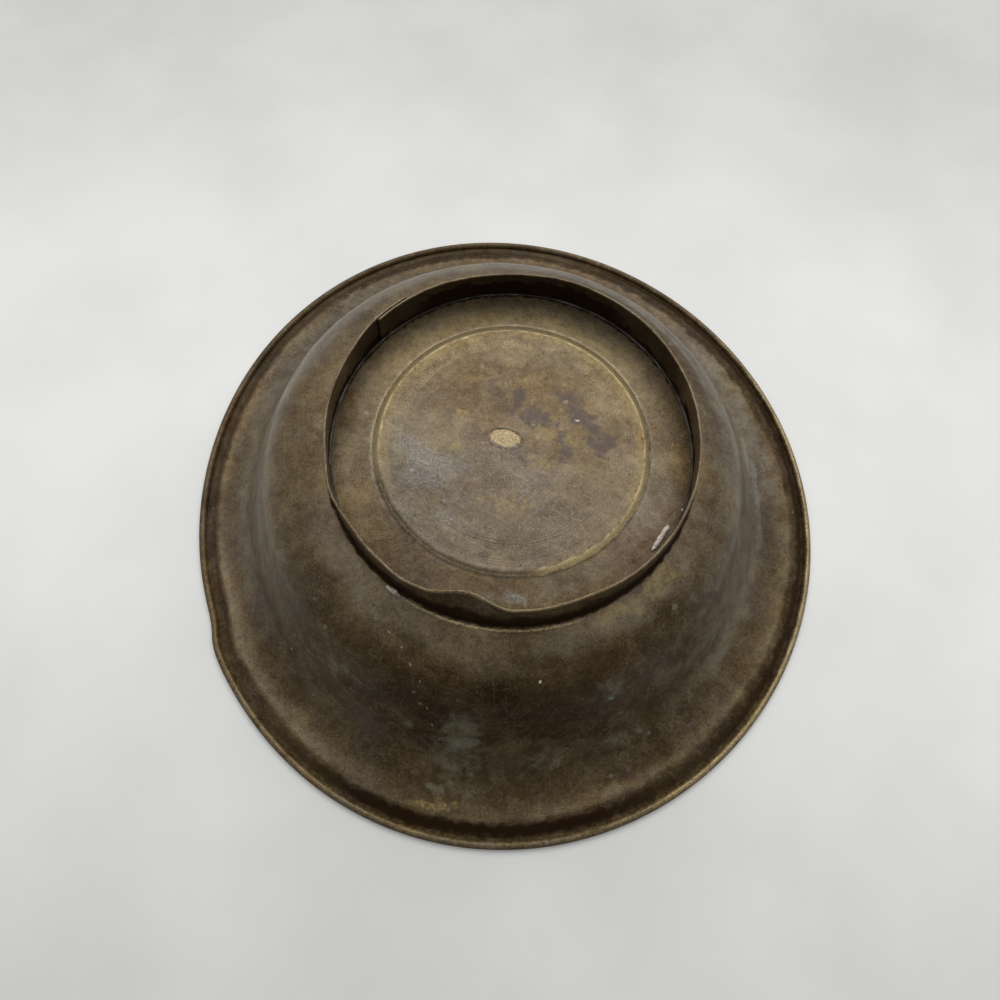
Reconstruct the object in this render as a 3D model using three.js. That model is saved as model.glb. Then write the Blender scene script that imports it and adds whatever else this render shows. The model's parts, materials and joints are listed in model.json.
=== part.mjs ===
// Footed brass bowl, turned over so that it rests on its rolled rim with the foot ring up.
// Millimetres, +Z up. The origin is the centre of the rim, on the surface that the rim rests on.

import * as THREE from "three";

// Driving dimensions of the bowl
const sheet = 0.8;
const rimRadius = 152.5;
const bowlDepth = 62;
const flangeWidth = 27.4;
const flangeRise = 2.2;
const ridgeInset = 10.2;
const ridgeRise = 3.5;
const ridgeRadius = 5;
const shoulderWidth = 20.3;
const shoulderRadius = 32.4;
const flareRadius = 25;

// The raised disc in the middle of the base
const discRadius = 56.4;
const discRise = 1.2;
const discEdgeWidth = 2.6;
const discEdgeRadius = 3;
const discHollowRadius = 3;

// The rolled edge and the wire inside it
const wireRadius = 0.6;
const wireClearance = 0.3;
const rollEnd = THREE.MathUtils.degToRad(193);
const rollLanding = THREE.MathUtils.degToRad(-60);
const wornFlat = 0.9;

// The foot ring, a strip bent round and lapped
const footRadius = 76;
const footHeight = 16.4;
const footSheet = 1;
const footTaper = 1.5;
const lapAngle = 12;
const lapRamp = 18;
const seamAngle = 131;

// Solder that holds the foot ring
const solderWidth = 1.2;
const lumpHeight = 1.4;
const innerLump = { angle: 329, length: 13, width: 2.2 };
const outerLump = { angle: 238, length: 7, width: 1.8 };

// Clearances between separate pieces
const jointGap = 0.3;
const seatMargin = 0.5;

// Handling has left the bowl out of true: angles in degrees from +X towards +Y, sizes in millimetres
const rimOval = { size: 4.0, angle: 101 };
const rimLobe = { size: 1.07, angle: 4 };
const rimKink = { depth: 2, angle: 211, sharpness: 3, reach: 14 };
const bulgeLean = { size: 2.7, angle: 180 };
const footDents = [
  { angle: 260, reach: 14, depth: 4.7 },
  { angle: 293, reach: 18, depth: 0.8 },
  { angle: 240, reach: 9, depth: -0.8 },
  { angle: 207, reach: 14, depth: -1.2 },
  { angle: 97, reach: 28, depth: 1.2 },
];

// How finely the round shapes are cut
const sectors = 90;
const footLevels = 4;
const longestRun = 12;
const wireSides = 8;
const lumpSides = 12;
const lumpRings = 3;
const arcSteps = { discEdge: 1, shoulder: 6, flare: 5, ridge: 1, rollInside: 5, rollOutside: 6 };

// The most of the next run that the rounding of a corner may take
const cornerReach = 0.9;

// Sizes that follow from the ones above
const rollInner = wireRadius + wireClearance;
const rollOuter = rollInner + sheet;
const rollCentre = rimRadius - rollOuter;
const wallFootRadius = rimRadius - flangeWidth;
const shoulderCorner = footRadius + seatMargin + shoulderWidth;
const footSeat = bowlDepth + jointGap;
const footBore = footRadius - footSheet;
const lapOffset = footSheet + jointGap;

const brass = new THREE.MeshStandardMaterial({ color: 0x5a4c38, roughness: 0.5, metalness: 0.85 });
const footBrass = new THREE.MeshStandardMaterial({ color: 0x6a5a42, roughness: 0.48, metalness: 0.85 });
const wireMetal = new THREE.MeshStandardMaterial({ color: 0x4a4640, roughness: 0.6, metalness: 0.8 });
const solderMetal = new THREE.MeshStandardMaterial({ color: 0xa9a698, roughness: 0.55, metalness: 0.7 });

function smoothStep(from, to, value) {
  return THREE.MathUtils.smoothstep(value, from, to);
}

// Signed difference between two angles in degrees, from -180 to 180
function angleBetween(angle, centre) {
  return THREE.MathUtils.euclideanModulo(angle - centre + 180, 360) - 180;
}

function cosDegrees(angle) {
  return Math.cos(THREE.MathUtils.degToRad(angle));
}

// How far the rim stands outside its true circle at an angle
function rimDeviation(angle) {
  const oval = rimOval.size * cosDegrees(2 * (angle - rimOval.angle));
  const fromLobe = angle - rimLobe.angle;
  const lobe = rimLobe.size * (cosDegrees(3 * fromLobe) - cosDegrees(fromLobe));
  const fromKink = angleBetween(angle, rimKink.angle);
  const step = Math.tanh(fromKink / rimKink.sharpness);
  return oval + lobe + rimKink.depth * step * Math.exp(-Math.abs(fromKink) / rimKink.reach);
}

// Moves every vertex of a round piece to where handling has pushed it
function putOutOfTrue(geometry) {
  const place = geometry.getAttribute("position");
  const leanDirection = THREE.MathUtils.degToRad(bulgeLean.angle);
  for (let i = 0; i < place.count; i += 1) {
    const x = place.getX(i);
    const y = place.getY(i);
    const radius = Math.hypot(x, y);
    const angle = THREE.MathUtils.radToDeg(Math.atan2(y, x));
    const rimShare = smoothStep(footRadius, rimRadius, radius);
    const factor = 1 + (rimDeviation(angle) / rimRadius) * rimShare;
    const inBulge = smoothStep(footRadius, shoulderCorner, radius);
    const beforeRim = 1 - smoothStep(wallFootRadius, rollCentre, radius);
    const lean = bulgeLean.size * inBulge * beforeRim;
    place.setX(i, x * factor + lean * Math.cos(leanDirection));
    place.setY(i, y * factor + lean * Math.sin(leanDirection));
  }
  return geometry;
}

// Points of the arc that rounds a corner; without room for its radius the corner gets a smaller one
function roundCorner(before, corner, after, radius, steps) {
  const back = before.clone().sub(corner);
  const ahead = after.clone().sub(corner);
  const half = back.angleTo(ahead) / 2;
  const room = Math.min(back.length(), ahead.length() * cornerReach);
  const cut = Math.min(radius / Math.tan(half), room);
  const usedRadius = cut * Math.tan(half);
  const bisector = back.clone().normalize().add(ahead.clone().normalize()).normalize();
  const centre = corner.clone().addScaledVector(bisector, usedRadius / Math.sin(half));
  const start = corner.clone().addScaledVector(back.normalize(), cut).sub(centre);
  const end = corner.clone().addScaledVector(ahead.normalize(), cut).sub(centre);
  const turn = Math.atan2(start.cross(end), start.dot(end));
  const points = [];
  for (let k = 0; k <= steps; k += 1) {
    const spoke = start.clone().rotateAround(new THREE.Vector2(), (turn * k) / steps);
    points.push(spoke.add(centre));
  }
  return points;
}

function arcPoints(centre, radius, from, to, steps) {
  const points = [];
  for (let k = 0; k <= steps; k += 1) {
    const angle = from + ((to - from) * k) / steps;
    const spoke = new THREE.Vector2(Math.cos(angle), Math.sin(angle));
    points.push(spoke.multiplyScalar(radius).add(centre));
  }
  return points;
}

// Adds points along straight runs so that they can bend with the rest
function splitLongRuns(points) {
  const result = [points[0]];
  for (let i = 1; i < points.length; i += 1) {
    const start = points[i - 1];
    const end = points[i];
    const bends = end.x > shoulderCorner - longestRun;
    const pieces = bends ? Math.ceil(start.distanceTo(end) / longestRun) : 1;
    for (let k = 1; k <= pieces; k += 1) {
      result.push(start.clone().lerp(end, k / pieces));
    }
  }
  return result;
}

// The upper face of the sheet in section, from the centre of the base out to the rolled edge
function upperFace() {
  const discTop = bowlDepth + discRise;
  const centre = new THREE.Vector2(0, discTop);
  const discEdge = new THREE.Vector2(discRadius - discEdgeWidth / 2, discTop);
  const discHollow = new THREE.Vector2(discRadius + discEdgeWidth / 2, bowlDepth);
  const seatEnd = new THREE.Vector2(footRadius + seatMargin, bowlDepth);
  const shoulder = new THREE.Vector2(shoulderCorner, bowlDepth);
  const flare = new THREE.Vector2(wallFootRadius, sheet + flangeRise);
  const ridge = new THREE.Vector2(rimRadius - ridgeInset, sheet + ridgeRise);
  const rollStart = new THREE.Vector2(rollCentre, sheet);
  return splitLongRuns([
    centre,
    ...roundCorner(centre, discEdge, discHollow, discEdgeRadius, arcSteps.discEdge),
    ...roundCorner(discEdge, discHollow, seatEnd, discHollowRadius, arcSteps.discEdge),
    ...roundCorner(seatEnd, shoulder, flare, shoulderRadius, arcSteps.shoulder),
    ...roundCorner(shoulder, flare, ridge, flareRadius, arcSteps.flare),
    ...roundCorner(flare, ridge, rollStart, ridgeRadius, arcSteps.ridge),
    rollStart,
  ]);
}

// The same line moved square to itself, into the sheet
function offsetInwards(points, distance) {
  return points.map((point, i) => {
    const before = points[Math.max(i - 1, 0)];
    const after = points[Math.min(i + 1, points.length - 1)];
    const into = point.clone().sub(before).normalize();
    const out = after.clone().sub(point).normalize();
    const along = into.add(out).normalize();
    return new THREE.Vector2(point.x + along.y * distance, point.y - along.x * distance);
  });
}

function toUpright(geometry) {
  return geometry.rotateX(Math.PI / 2);
}

// A round solid from the outline of its section, listed anticlockwise with the radius to the right
function turned(outline) {
  return toUpright(new THREE.LatheGeometry(outline, sectors));
}

function bowlBody() {
  const upper = upperFace();
  const rollMiddle = new THREE.Vector2(rollCentre, rollOuter);
  const lower = offsetInwards(upper, sheet);
  lower[0].x = 0;
  lower.pop();
  const insideRoll = arcPoints(rollMiddle, rollInner, -Math.PI / 2, rollEnd, arcSteps.rollInside);
  const outsideRoll = arcPoints(rollMiddle, rollOuter, rollEnd, rollLanding, arcSteps.rollOutside);
  const restingFlat = [
    new THREE.Vector2(rollCentre + wornFlat / 2, 0),
    new THREE.Vector2(rollCentre - wornFlat / 2, 0),
  ];
  const roll = [...insideRoll.slice(1), ...outsideRoll, ...restingFlat];
  const outline = [...upper, ...roll, ...lower.reverse()];
  return putOutOfTrue(turned(outline.reverse()));
}

function rimWire() {
  const middle = new THREE.Vector2(rollCentre, rollOuter);
  const section = arcPoints(middle, wireRadius, 0, 2 * Math.PI, wireSides);
  section[wireSides].copy(section[0]);
  return putOutOfTrue(turned(section));
}

// How far the free edge of the foot ring is pushed in at an angle
function footDeviation(angle) {
  return footDents.reduce((total, dent) => {
    const share = Math.abs(angleBetween(angle, dent.angle)) / dent.reach;
    return total + (share < 1 ? (dent.depth * (1 + Math.cos(Math.PI * share))) / 2 : 0);
  }, 0);
}

// The strip runs once round and on under its own outer end, which rides over the start
function stripRadius(travelled, whole) {
  const lifted = 1 - smoothStep(lapAngle, lapAngle + lapRamp, whole - travelled);
  return footRadius - footSheet / 2 + lapOffset * lifted;
}

function footRing() {
  const whole = 360 + lapAngle;
  const steps = Math.round((sectors * whole) / 360);
  const outer = [];
  const inner = [];
  for (let k = 0; k <= steps; k += 1) {
    const travelled = (whole * k) / steps;
    const angle = THREE.MathUtils.degToRad(seamAngle + lapAngle - travelled);
    const middle = stripRadius(travelled, whole);
    const direction = new THREE.Vector2(Math.cos(angle), Math.sin(angle));
    outer.push(direction.clone().multiplyScalar(middle + footSheet / 2));
    inner.push(direction.clone().multiplyScalar(middle - footSheet / 2));
  }
  const strip = new THREE.Shape([...outer, ...inner.reverse()]);
  const geometry = new THREE.ExtrudeGeometry(strip, {
    depth: footHeight,
    steps: footLevels,
    bevelEnabled: false,
  });
  const place = geometry.getAttribute("position");
  for (let i = 0; i < place.count; i += 1) {
    const x = place.getX(i);
    const y = place.getY(i);
    const share = place.getZ(i) / footHeight;
    const angle = THREE.MathUtils.radToDeg(Math.atan2(y, x));
    const inwards = footTaper * share + footDeviation(angle) * share * share;
    const factor = 1 - inwards / Math.hypot(x, y);
    place.setX(i, x * factor);
    place.setY(i, y * factor);
  }
  return geometry.translate(0, 0, footSeat);
}

function solderSeam() {
  const outside = footBore - jointGap - (footTaper * solderWidth) / footHeight;
  const section = [
    new THREE.Vector2(outside - solderWidth, footSeat),
    new THREE.Vector2(outside, footSeat),
    new THREE.Vector2(outside, footSeat + solderWidth),
    new THREE.Vector2(outside - solderWidth, footSeat),
  ];
  return turned(section);
}

// A lump of solder with a flat underside, lying along the foot ring
function solderLump(lump, radius) {
  const dome = arcPoints(new THREE.Vector2(), 1, 0, Math.PI / 2, lumpRings);
  dome[dome.length - 1].x = 0;
  const section = [new THREE.Vector2(), ...dome];
  const geometry = toUpright(new THREE.LatheGeometry(section, lumpSides));
  return geometry
    .scale(lump.width / 2, lump.length / 2, lumpHeight)
    .translate(radius, 0, footSeat)
    .rotateZ(THREE.MathUtils.degToRad(lump.angle));
}

function addPiece(group, name, geometry, material) {
  const piece = new THREE.Mesh(geometry, material);
  piece.name = name;
  group.add(piece);
}

const bowl = new THREE.Group();
const innerLumpRadius = footBore - 2 * jointGap - solderWidth - innerLump.width;
const outerLumpRadius = footRadius + jointGap + outerLump.width;

addPiece(bowl, "bowl_body", bowlBody(), brass);
addPiece(bowl, "rim_wire", rimWire(), wireMetal);
addPiece(bowl, "foot_ring", footRing(), footBrass);
addPiece(bowl, "foot_solder_seam", solderSeam(), solderMetal);
addPiece(bowl, "solder_lump_inside", solderLump(innerLump, innerLumpRadius), solderMetal);
addPiece(bowl, "solder_lump_outside", solderLump(outerLump, outerLumpRadius), solderMetal);

export default bowl;
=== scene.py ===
"""Looks of an old brass basin, turned over on its rolled rim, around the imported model.

Sizes of the basin are millimetres in this file until a mesh is made, which is in metres.
Angles are degrees from +X towards +Y, so -90 is the side nearest the camera.
"""

import json
import logging
import math
from dataclasses import dataclass
from enum import Enum
from typing import Iterable, Sequence, Union

import bpy
import numpy as np
from bpy.types import ID, Material, NodeSocket, NodeTree, Object
from mathutils import Matrix, Vector

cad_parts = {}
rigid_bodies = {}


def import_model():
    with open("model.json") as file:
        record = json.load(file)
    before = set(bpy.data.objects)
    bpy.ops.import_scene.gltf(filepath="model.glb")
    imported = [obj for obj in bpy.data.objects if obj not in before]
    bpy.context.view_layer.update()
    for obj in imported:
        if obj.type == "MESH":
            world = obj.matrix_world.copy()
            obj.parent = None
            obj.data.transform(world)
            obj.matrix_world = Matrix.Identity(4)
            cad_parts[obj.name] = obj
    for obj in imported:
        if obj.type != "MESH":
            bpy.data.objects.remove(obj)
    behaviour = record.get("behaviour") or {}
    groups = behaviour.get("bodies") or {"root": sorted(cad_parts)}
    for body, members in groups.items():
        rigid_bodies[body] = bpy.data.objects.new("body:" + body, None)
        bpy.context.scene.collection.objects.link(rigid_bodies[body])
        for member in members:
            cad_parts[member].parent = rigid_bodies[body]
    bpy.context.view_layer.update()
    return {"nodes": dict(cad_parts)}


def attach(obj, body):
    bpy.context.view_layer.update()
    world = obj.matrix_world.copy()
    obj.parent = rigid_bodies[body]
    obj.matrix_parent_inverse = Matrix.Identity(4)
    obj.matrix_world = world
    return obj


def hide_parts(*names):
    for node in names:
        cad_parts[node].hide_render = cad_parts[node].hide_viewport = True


for spare in list(bpy.data.objects):
    bpy.data.objects.remove(spare)
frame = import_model()

LOG = logging.getLogger("basin")
METRES = 0.001
BODY = "root"
UP = np.array([0.0, 0.0, 1.0])
ORIGIN = (0.0, 0.0, 0.0)
CORNER_REACH = 0.9  # the most of a line that the rounding of a corner may take
SPOT_REACH = 2.2  # how far out a ragged spot is looked for, with its outline at 1
EDGE_SHARE = 0.975  # share of the foot ring's height where its free edge starts
OUTSIDE_LIMIT = 0.75  # sides below this carry marks: 0 is the outside of the sheet, 1 the inside

Triple = tuple[float, float, float]
Feed = Union["Value", NodeSocket, float, Sequence[float]]


# Small helpers for numbers


def smooth(low: float, high: float, value: np.ndarray) -> np.ndarray:
    """Eases from 0, where the value is low, to 1, where it is high."""
    share = np.clip((value - low) / (high - low), 0.0, 1.0)
    return share * share * (3.0 - 2.0 * share)


def between(low: float, high: float, fade: float, value: np.ndarray) -> np.ndarray:
    """1 between two limits and 0 outside them, with soft ends as long as the fade."""
    rise = smooth(low - fade / 2, low + fade / 2, value)
    return rise * (1.0 - smooth(high - fade / 2, high + fade / 2, value))


def angle_from(angle: np.ndarray, centre: float) -> np.ndarray:
    """Difference of angles from a centre, from -180 to 180 degrees."""
    return np.mod(angle - centre + 180.0, 360.0) - 180.0


def heading(points: np.ndarray) -> np.ndarray:
    """Angle of each place round the axis, in degrees."""
    return np.degrees(np.arctan2(points[:, 1], points[:, 0]))


def cos_degrees(angle: np.ndarray) -> np.ndarray:
    """Cosine of an angle in degrees."""
    return np.cos(np.radians(angle))


def stretch_of_round(
    points: np.ndarray, start: float, sweep: float, end_fade: float
) -> np.ndarray:
    """1 on a stretch of the round and 0 off it, with soft ends.

    Args:
        points: places, one row each.
        start: angle where the stretch starts.
        sweep: angle that it runs through.
        end_fade: how long each soft end is, in degrees.

    Returns:
        The share at each place, from 0 to 1.
    """
    if sweep >= 360.0:
        return np.ones(len(points))
    half = sweep / 2.0
    offset = np.abs(angle_from(heading(points), start + half))
    return 1.0 - smooth(half - end_fade / 2, half + end_fade / 2, offset)


@dataclass(frozen=True)
class Unevenness:
    """A smooth random field in space, the same in every run."""

    seed: int
    wavelength: float
    octaves: int = 1
    waves: int = 14
    finer_weight: float = 0.55
    gain: float = 1.4

    def at(self, points: np.ndarray) -> np.ndarray:
        """Reads the field.

        Args:
            points: places, one row each.

        Returns:
            One value for each place, mostly from -1 to 1.
        """
        random = np.random.default_rng(self.seed)
        total = np.zeros(len(points))
        weight, whole, length = 1.0, 0.0, self.wavelength
        for _ in range(self.octaves):
            way = random.normal(size=(self.waves, 3))
            way /= np.linalg.norm(way, axis=1)[:, None]
            stretch = random.uniform(0.7, 1.4, self.waves)
            phase = random.uniform(0.0, 2.0 * math.pi, self.waves)
            turns = points @ (way * (2.0 * math.pi / length) * stretch[:, None]).T
            total += weight * np.cos(turns + phase).sum(axis=1) * math.sqrt(2.0 / self.waves)
            whole += weight
            weight *= self.finer_weight
            length *= 0.5
        return total / (self.gain * whole)


# Marks that age and handling have left, and painted shade and highlights


class Tarnish(Enum):
    """What a mark on the metal is made of, or the painted shade or highlight it stands for; the
    value names the mesh attribute that holds it.
    """

    # Dark crud in the channel by the bead, and also painted shade by the foot ring, under the bead
    # and on the near wall
    GRIME_AND_SHADE = "grime_and_shade"
    # Painted shade: a dark brown without the metal's shine, where the side nearest the camera,
    # recesses and the foot ring should look darker
    PAINTED_SHADE = "painted_shade"
    # Real wear, and also painted highlights along the shoulder's crest and the flange's ridge
    WEAR_AND_HIGHLIGHT = "worn"
    # A pale deposit, and also painted highlights along the shoulder's crest
    HAZE_AND_HIGHLIGHT = "haze_and_highlight"
    BARE = "bare"
    OCHRE = "ochre"
    # Scuffed grey patches on the base, and also painted highlights along the shoulder's crest
    SCUFFS_AND_SHEEN = "scuffs_and_sheen"
    # Painted highlights: pale grey streaks and patches where the metal should catch the light
    PAINTED_HIGHLIGHT = "painted_highlight"
    VIOLET = "violet"
    OLIVE = "olive"
    VERDIGRIS = "verdigris"
    CHALK = "chalk"


@dataclass(frozen=True)
class Oval:
    """A level oval: its middle, its length and width, and its turn."""

    x: float
    y: float
    length: float
    width: float
    turn: float

    def distance(self, points: np.ndarray) -> np.ndarray:
        """Distance from the middle, 1 on the outline.

        Args:
            points: places, one row each.

        Returns:
            The distance of each place.
        """
        along = math.radians(self.turn)
        dx = points[:, 0] - self.x
        dy = points[:, 1] - self.y
        u = (dx * math.cos(along) + dy * math.sin(along)) / (self.length / 2.0)
        v = (dy * math.cos(along) - dx * math.sin(along)) / (self.width / 2.0)
        return np.hypot(u, v)


@dataclass(frozen=True)
class Spot(Oval):
    """A soft oval mark, placed as it is seen from above."""

    strength: float
    softness: float
    ragged: float
    grain: float

    def share(self, points: np.ndarray) -> np.ndarray:
        """How strong the mark is.

        Args:
            points: places, one row each.

        Returns:
            Strength at each place, from 0 to 1.
        """
        distance = self.distance(points)
        result = np.zeros(len(points))
        near = distance < SPOT_REACH
        seed = int(abs(self.x * 31 + self.y * 17)) + 5
        reach = distance[near] + self.ragged * Unevenness(seed, self.grain, 3).at(points[near])
        result[near] = self.strength * (1.0 - smooth(1.0 - self.softness, 1.0, reach))
        return result


@dataclass(frozen=True)
class Band:
    """A mark that follows the round of the basin."""

    inner: float
    outer: float
    start: float
    sweep: float
    strength: float
    fade: float
    end_fade: float = 12.0
    ragged: float = 0.0
    grain: float = 9.0

    def share(self, points: np.ndarray, radius: np.ndarray) -> np.ndarray:
        """How strong the mark is.

        Args:
            points: places, one row each.
            radius: distance of each place from the axis before the basin was bent.

        Returns:
            Strength at each place, from 0 to 1.
        """
        result = np.zeros(len(points))
        room = self.fade / 2.0 + 3.0 * self.ragged
        along = stretch_of_round(points, self.start, self.sweep, self.end_fade)
        near = (radius > self.inner - room) & (radius < self.outer + room) & (along > 0.0)
        moved = radius[near]
        if self.ragged:
            seed = int(abs(self.inner * 13 + self.outer * 7 + self.start)) + 11
            moved = moved + self.ragged * Unevenness(seed, self.grain, 3).at(points[near])
        across = between(self.inner, self.outer, self.fade, moved)
        result[near] = self.strength * across * along[near]
        return result


class RingFace(Enum):
    """Which face of the foot ring a mark is on."""

    OUTSIDE = "outside"
    INSIDE = "inside"
    EDGE = "edge"


@dataclass(frozen=True)
class RingMark:
    """A mark on the foot ring, from the base of the bowl up to a share of the ring's height."""

    tarnish: Tarnish
    face: RingFace
    start: float
    sweep: float
    top: float
    strength: float
    fade: float = 0.2
    end_fade: float = 20.0
    ragged: float = 0.15

    def amount(self, points: np.ndarray, share: np.ndarray, side: np.ndarray) -> np.ndarray:
        """How strong the mark is.

        Args:
            points: places, one row each.
            share: share of the ring's height at each place.
            side: 1 on the outside, -1 inside.

        Returns:
            Strength at each place, from 0 to 1.
        """
        at_edge = share > EDGE_SHARE
        chosen = {
            RingFace.OUTSIDE: (side > 0) & ~at_edge,
            RingFace.INSIDE: (side < 0) & ~at_edge,
            RingFace.EDGE: at_edge,
        }[self.face]
        seed = int(self.start) + 41
        moved = share + self.ragged * Unevenness(seed, 8.0, 3).at(points)
        up = 1.0 - smooth(self.top - self.fade / 2, self.top + self.fade / 2, moved)
        along = stretch_of_round(points, self.start, self.sweep, self.end_fade)
        return self.strength * chosen * up * along


MarkRows = dict[Tarnish, tuple[tuple[float, ...], ...]]

# Columns: inner, outer, start, sweep, strength, fade, end_fade, ragged, grain
BOWL_BANDS: MarkRows = {
    # Dark crud, partly painted shade, in the channel by the bead (first four rows); painted shade
    # where the base meets the foot ring and on the near wall, and a painted shadow along the bead's
    # outer side
    Tarnish.GRIME_AND_SHADE: (
        (143.2, 148.2, 238, 62, 1, 3, 36, 1.4, 6), (144.4, 148.6, 228, 109, 0.6, 2.6, 30, 1.4, 5),
        (145, 148.6, -60, 140, 0.7, 2, 40, 0.9, 6), (142.6, 145.4, 60, 165, 0.45, 2, 30, 0.8, 6),
        (74.4, 77, 0, 360, 0.9, 1.2, 12, 0.4, 5), (73.6, 76, 20, 150, 0.95, 2, 30, 0.8, 5),
        (97, 113, 242, 56, 0.34, 8, 30, 3, 16), (151.9, 154, 0, 360, 0.5, 0.7, 12, 0.2, 9),
    ),
    # Painted shade: darkens the channel by the bead, the bead's outer side, the wall, flange and
    # base ring nearest the camera, and stretches of the shoulder on the far and right sides
    Tarnish.PAINTED_SHADE: (
        (140.4, 145.2, 16, 118, 0.95, 2, 24, 0.8, 9),
        (142.2, 149.4, -120, 200, 0.85, 3, 40, 1.2, 9), (141.8, 148, 0, 360, 0.6, 3, 12, 1.2, 9),
        (92, 119, 236, 66, 1, 12, 40, 3.5, 30), (90, 112, 214, 116, 0.78, 10, 34, 4, 30),
        (108, 131, 214, 112, 0.48, 10, 34, 4, 30), (131, 142, 242, 38, 0.6, 4, 18, 1.5, 20),
        (120, 137, 236, 88, 0.62, 8, 30, 3, 30), (78, 96, 246, 48, 0.28, 8, 40, 3, 30),
        (124, 142, -50, 190, 0.34, 8, 30, 1.5, 20), (80, 112, 20, 50, 0.4, 10, 40, 2.5, 30),
        (102, 112, -50, 96, 0.35, 6, 30, 2, 30), (57.5, 76, 215, 100, 0.3, 5, 40, 1.5, 12),
        (149.4, 154, 50, 160, 0.35, 1, 40, 0.3, 9),
    ),
    Tarnish.OCHRE: (
        (148.2, 150.4, 185, 150, 0.62, 1, 30, 0.7, 4), (56, 74.5, 30, 130, 0.6, 3, 40, 2.5, 9),
        (46, 57.5, -78, 78, 0.42, 14, 40, 2, 8), (47, 58, 10, 180, 0.42, 12, 30, 2, 8),
        (50.6, 57.4, -30, 240, 0.66, 3, 30, 0.6, 6),
    ),
    Tarnish.BARE: (
        (77.4, 78.4, 240, 55, 0.5, 0.6, 12, 0.3, 3), (54.4, 57.6, 0, 200, 0.62, 2, 30, 0.35, 5),
        (56, 58.6, 10, 190, 0.44, 1.4, 30, 0.4, 6), (54.6, 57.4, -80, 92, 0.62, 1.6, 20, 0.35, 5),
        (56, 57, 195, 95, 0.4, 0.8, 20, 0.3, 5), (150, 152, -70, 110, 0.42, 1, 40, 0.3, 9),
        (150.2, 151.9, 190, 130, 0.24, 0.8, 40, 0.3, 9),
    ),
    # Worn brass on the base and the shoulder; the rows from 104 to 128 and 114 to 126 along the
    # shoulder's crest, and the two rows on the flange's ridge, are painted highlights
    Tarnish.WEAR_AND_HIGHLIGHT: (
        (79, 97, 205, 140, 0.6, 8, 50, 3, 20), (104, 128, 90, 112, 0.6, 10, 40, 2.5, 20),
        (114, 126, -42, 90, 1, 4, 30, 1.5, 20), (36, 58.2, -75, 215, 0.75, 18, 40, 3, 20),
        (-1, 58.2, 0, 360, 0.26, 1.5), (56, 66, 10, 170, 0.5, 3, 40, 1.5, 12),
        (66, 75, 20, 140, 1, 4, 40, 1.5, 12), (134, 141.5, 196, 60, 0.8, 5, 26, 0.8, 20),
        (137, 141.5, 236, 100, 0.32, 3, 30, 1, 20),
    ),
    # A pale deposit over the right of the shoulder, which also lightens it as a painted highlight
    Tarnish.HAZE_AND_HIGHLIGHT: (
        (80, 120, -50, 110, 0.42, 20, 50, 3, 30),
    ),
    # Painted highlights: pale grey streaks along the shoulder's crest, on the flange's ridge, round
    # the foot ring and at the edge of the raised base
    Tarnish.PAINTED_HIGHLIGHT: (
        (92.5, 96.5, 16, 140, 0.34, 3.6, 40, 0.8, 30), (93, 95.5, 22, 44, 0.55, 2.2, 20, 0.6, 30),
        (107.5, 112.5, 160, 52, 0.3, 4, 20, 1, 30), (110, 127, -38, 56, 0.4, 10, 30, 2, 20),
        (109, 129, 166, 48, 0.34, 10, 34, 2, 20), (125, 138, 4, 48, 0.38, 6, 20, 1.5, 20),
        (98, 137, 118, 56, 0.26, 10, 24, 2, 20), (97, 108, 22, 46, 0.22, 6, 24, 2, 20),
        (77, 88, 205, 50, 0.18, 5, 20, 1.5, 16), (77, 88, 283, 40, 0.18, 5, 20, 1.5, 16),
        (65, 74.5, 36, 128, 0.14, 3, 24, 1, 12), (57.5, 67, -80, 84, 0.15, 3, 24, 1, 12),
        (53.5, 58, -170, 100, 0.16, 2, 24, 0.6, 12),
        (136.5, 140.5, 200, 48, 0.12, 3.4, 26, 0.6, 20),
        (56.4, 59, -40, 250, 0.3, 1.2, 30, 0.3, 6),
    ),
    Tarnish.SCUFFS_AND_SHEEN: (
        (-1, 55, 160, 175, 0.36, 3, 70, 1, 12),
    ),
}
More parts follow.
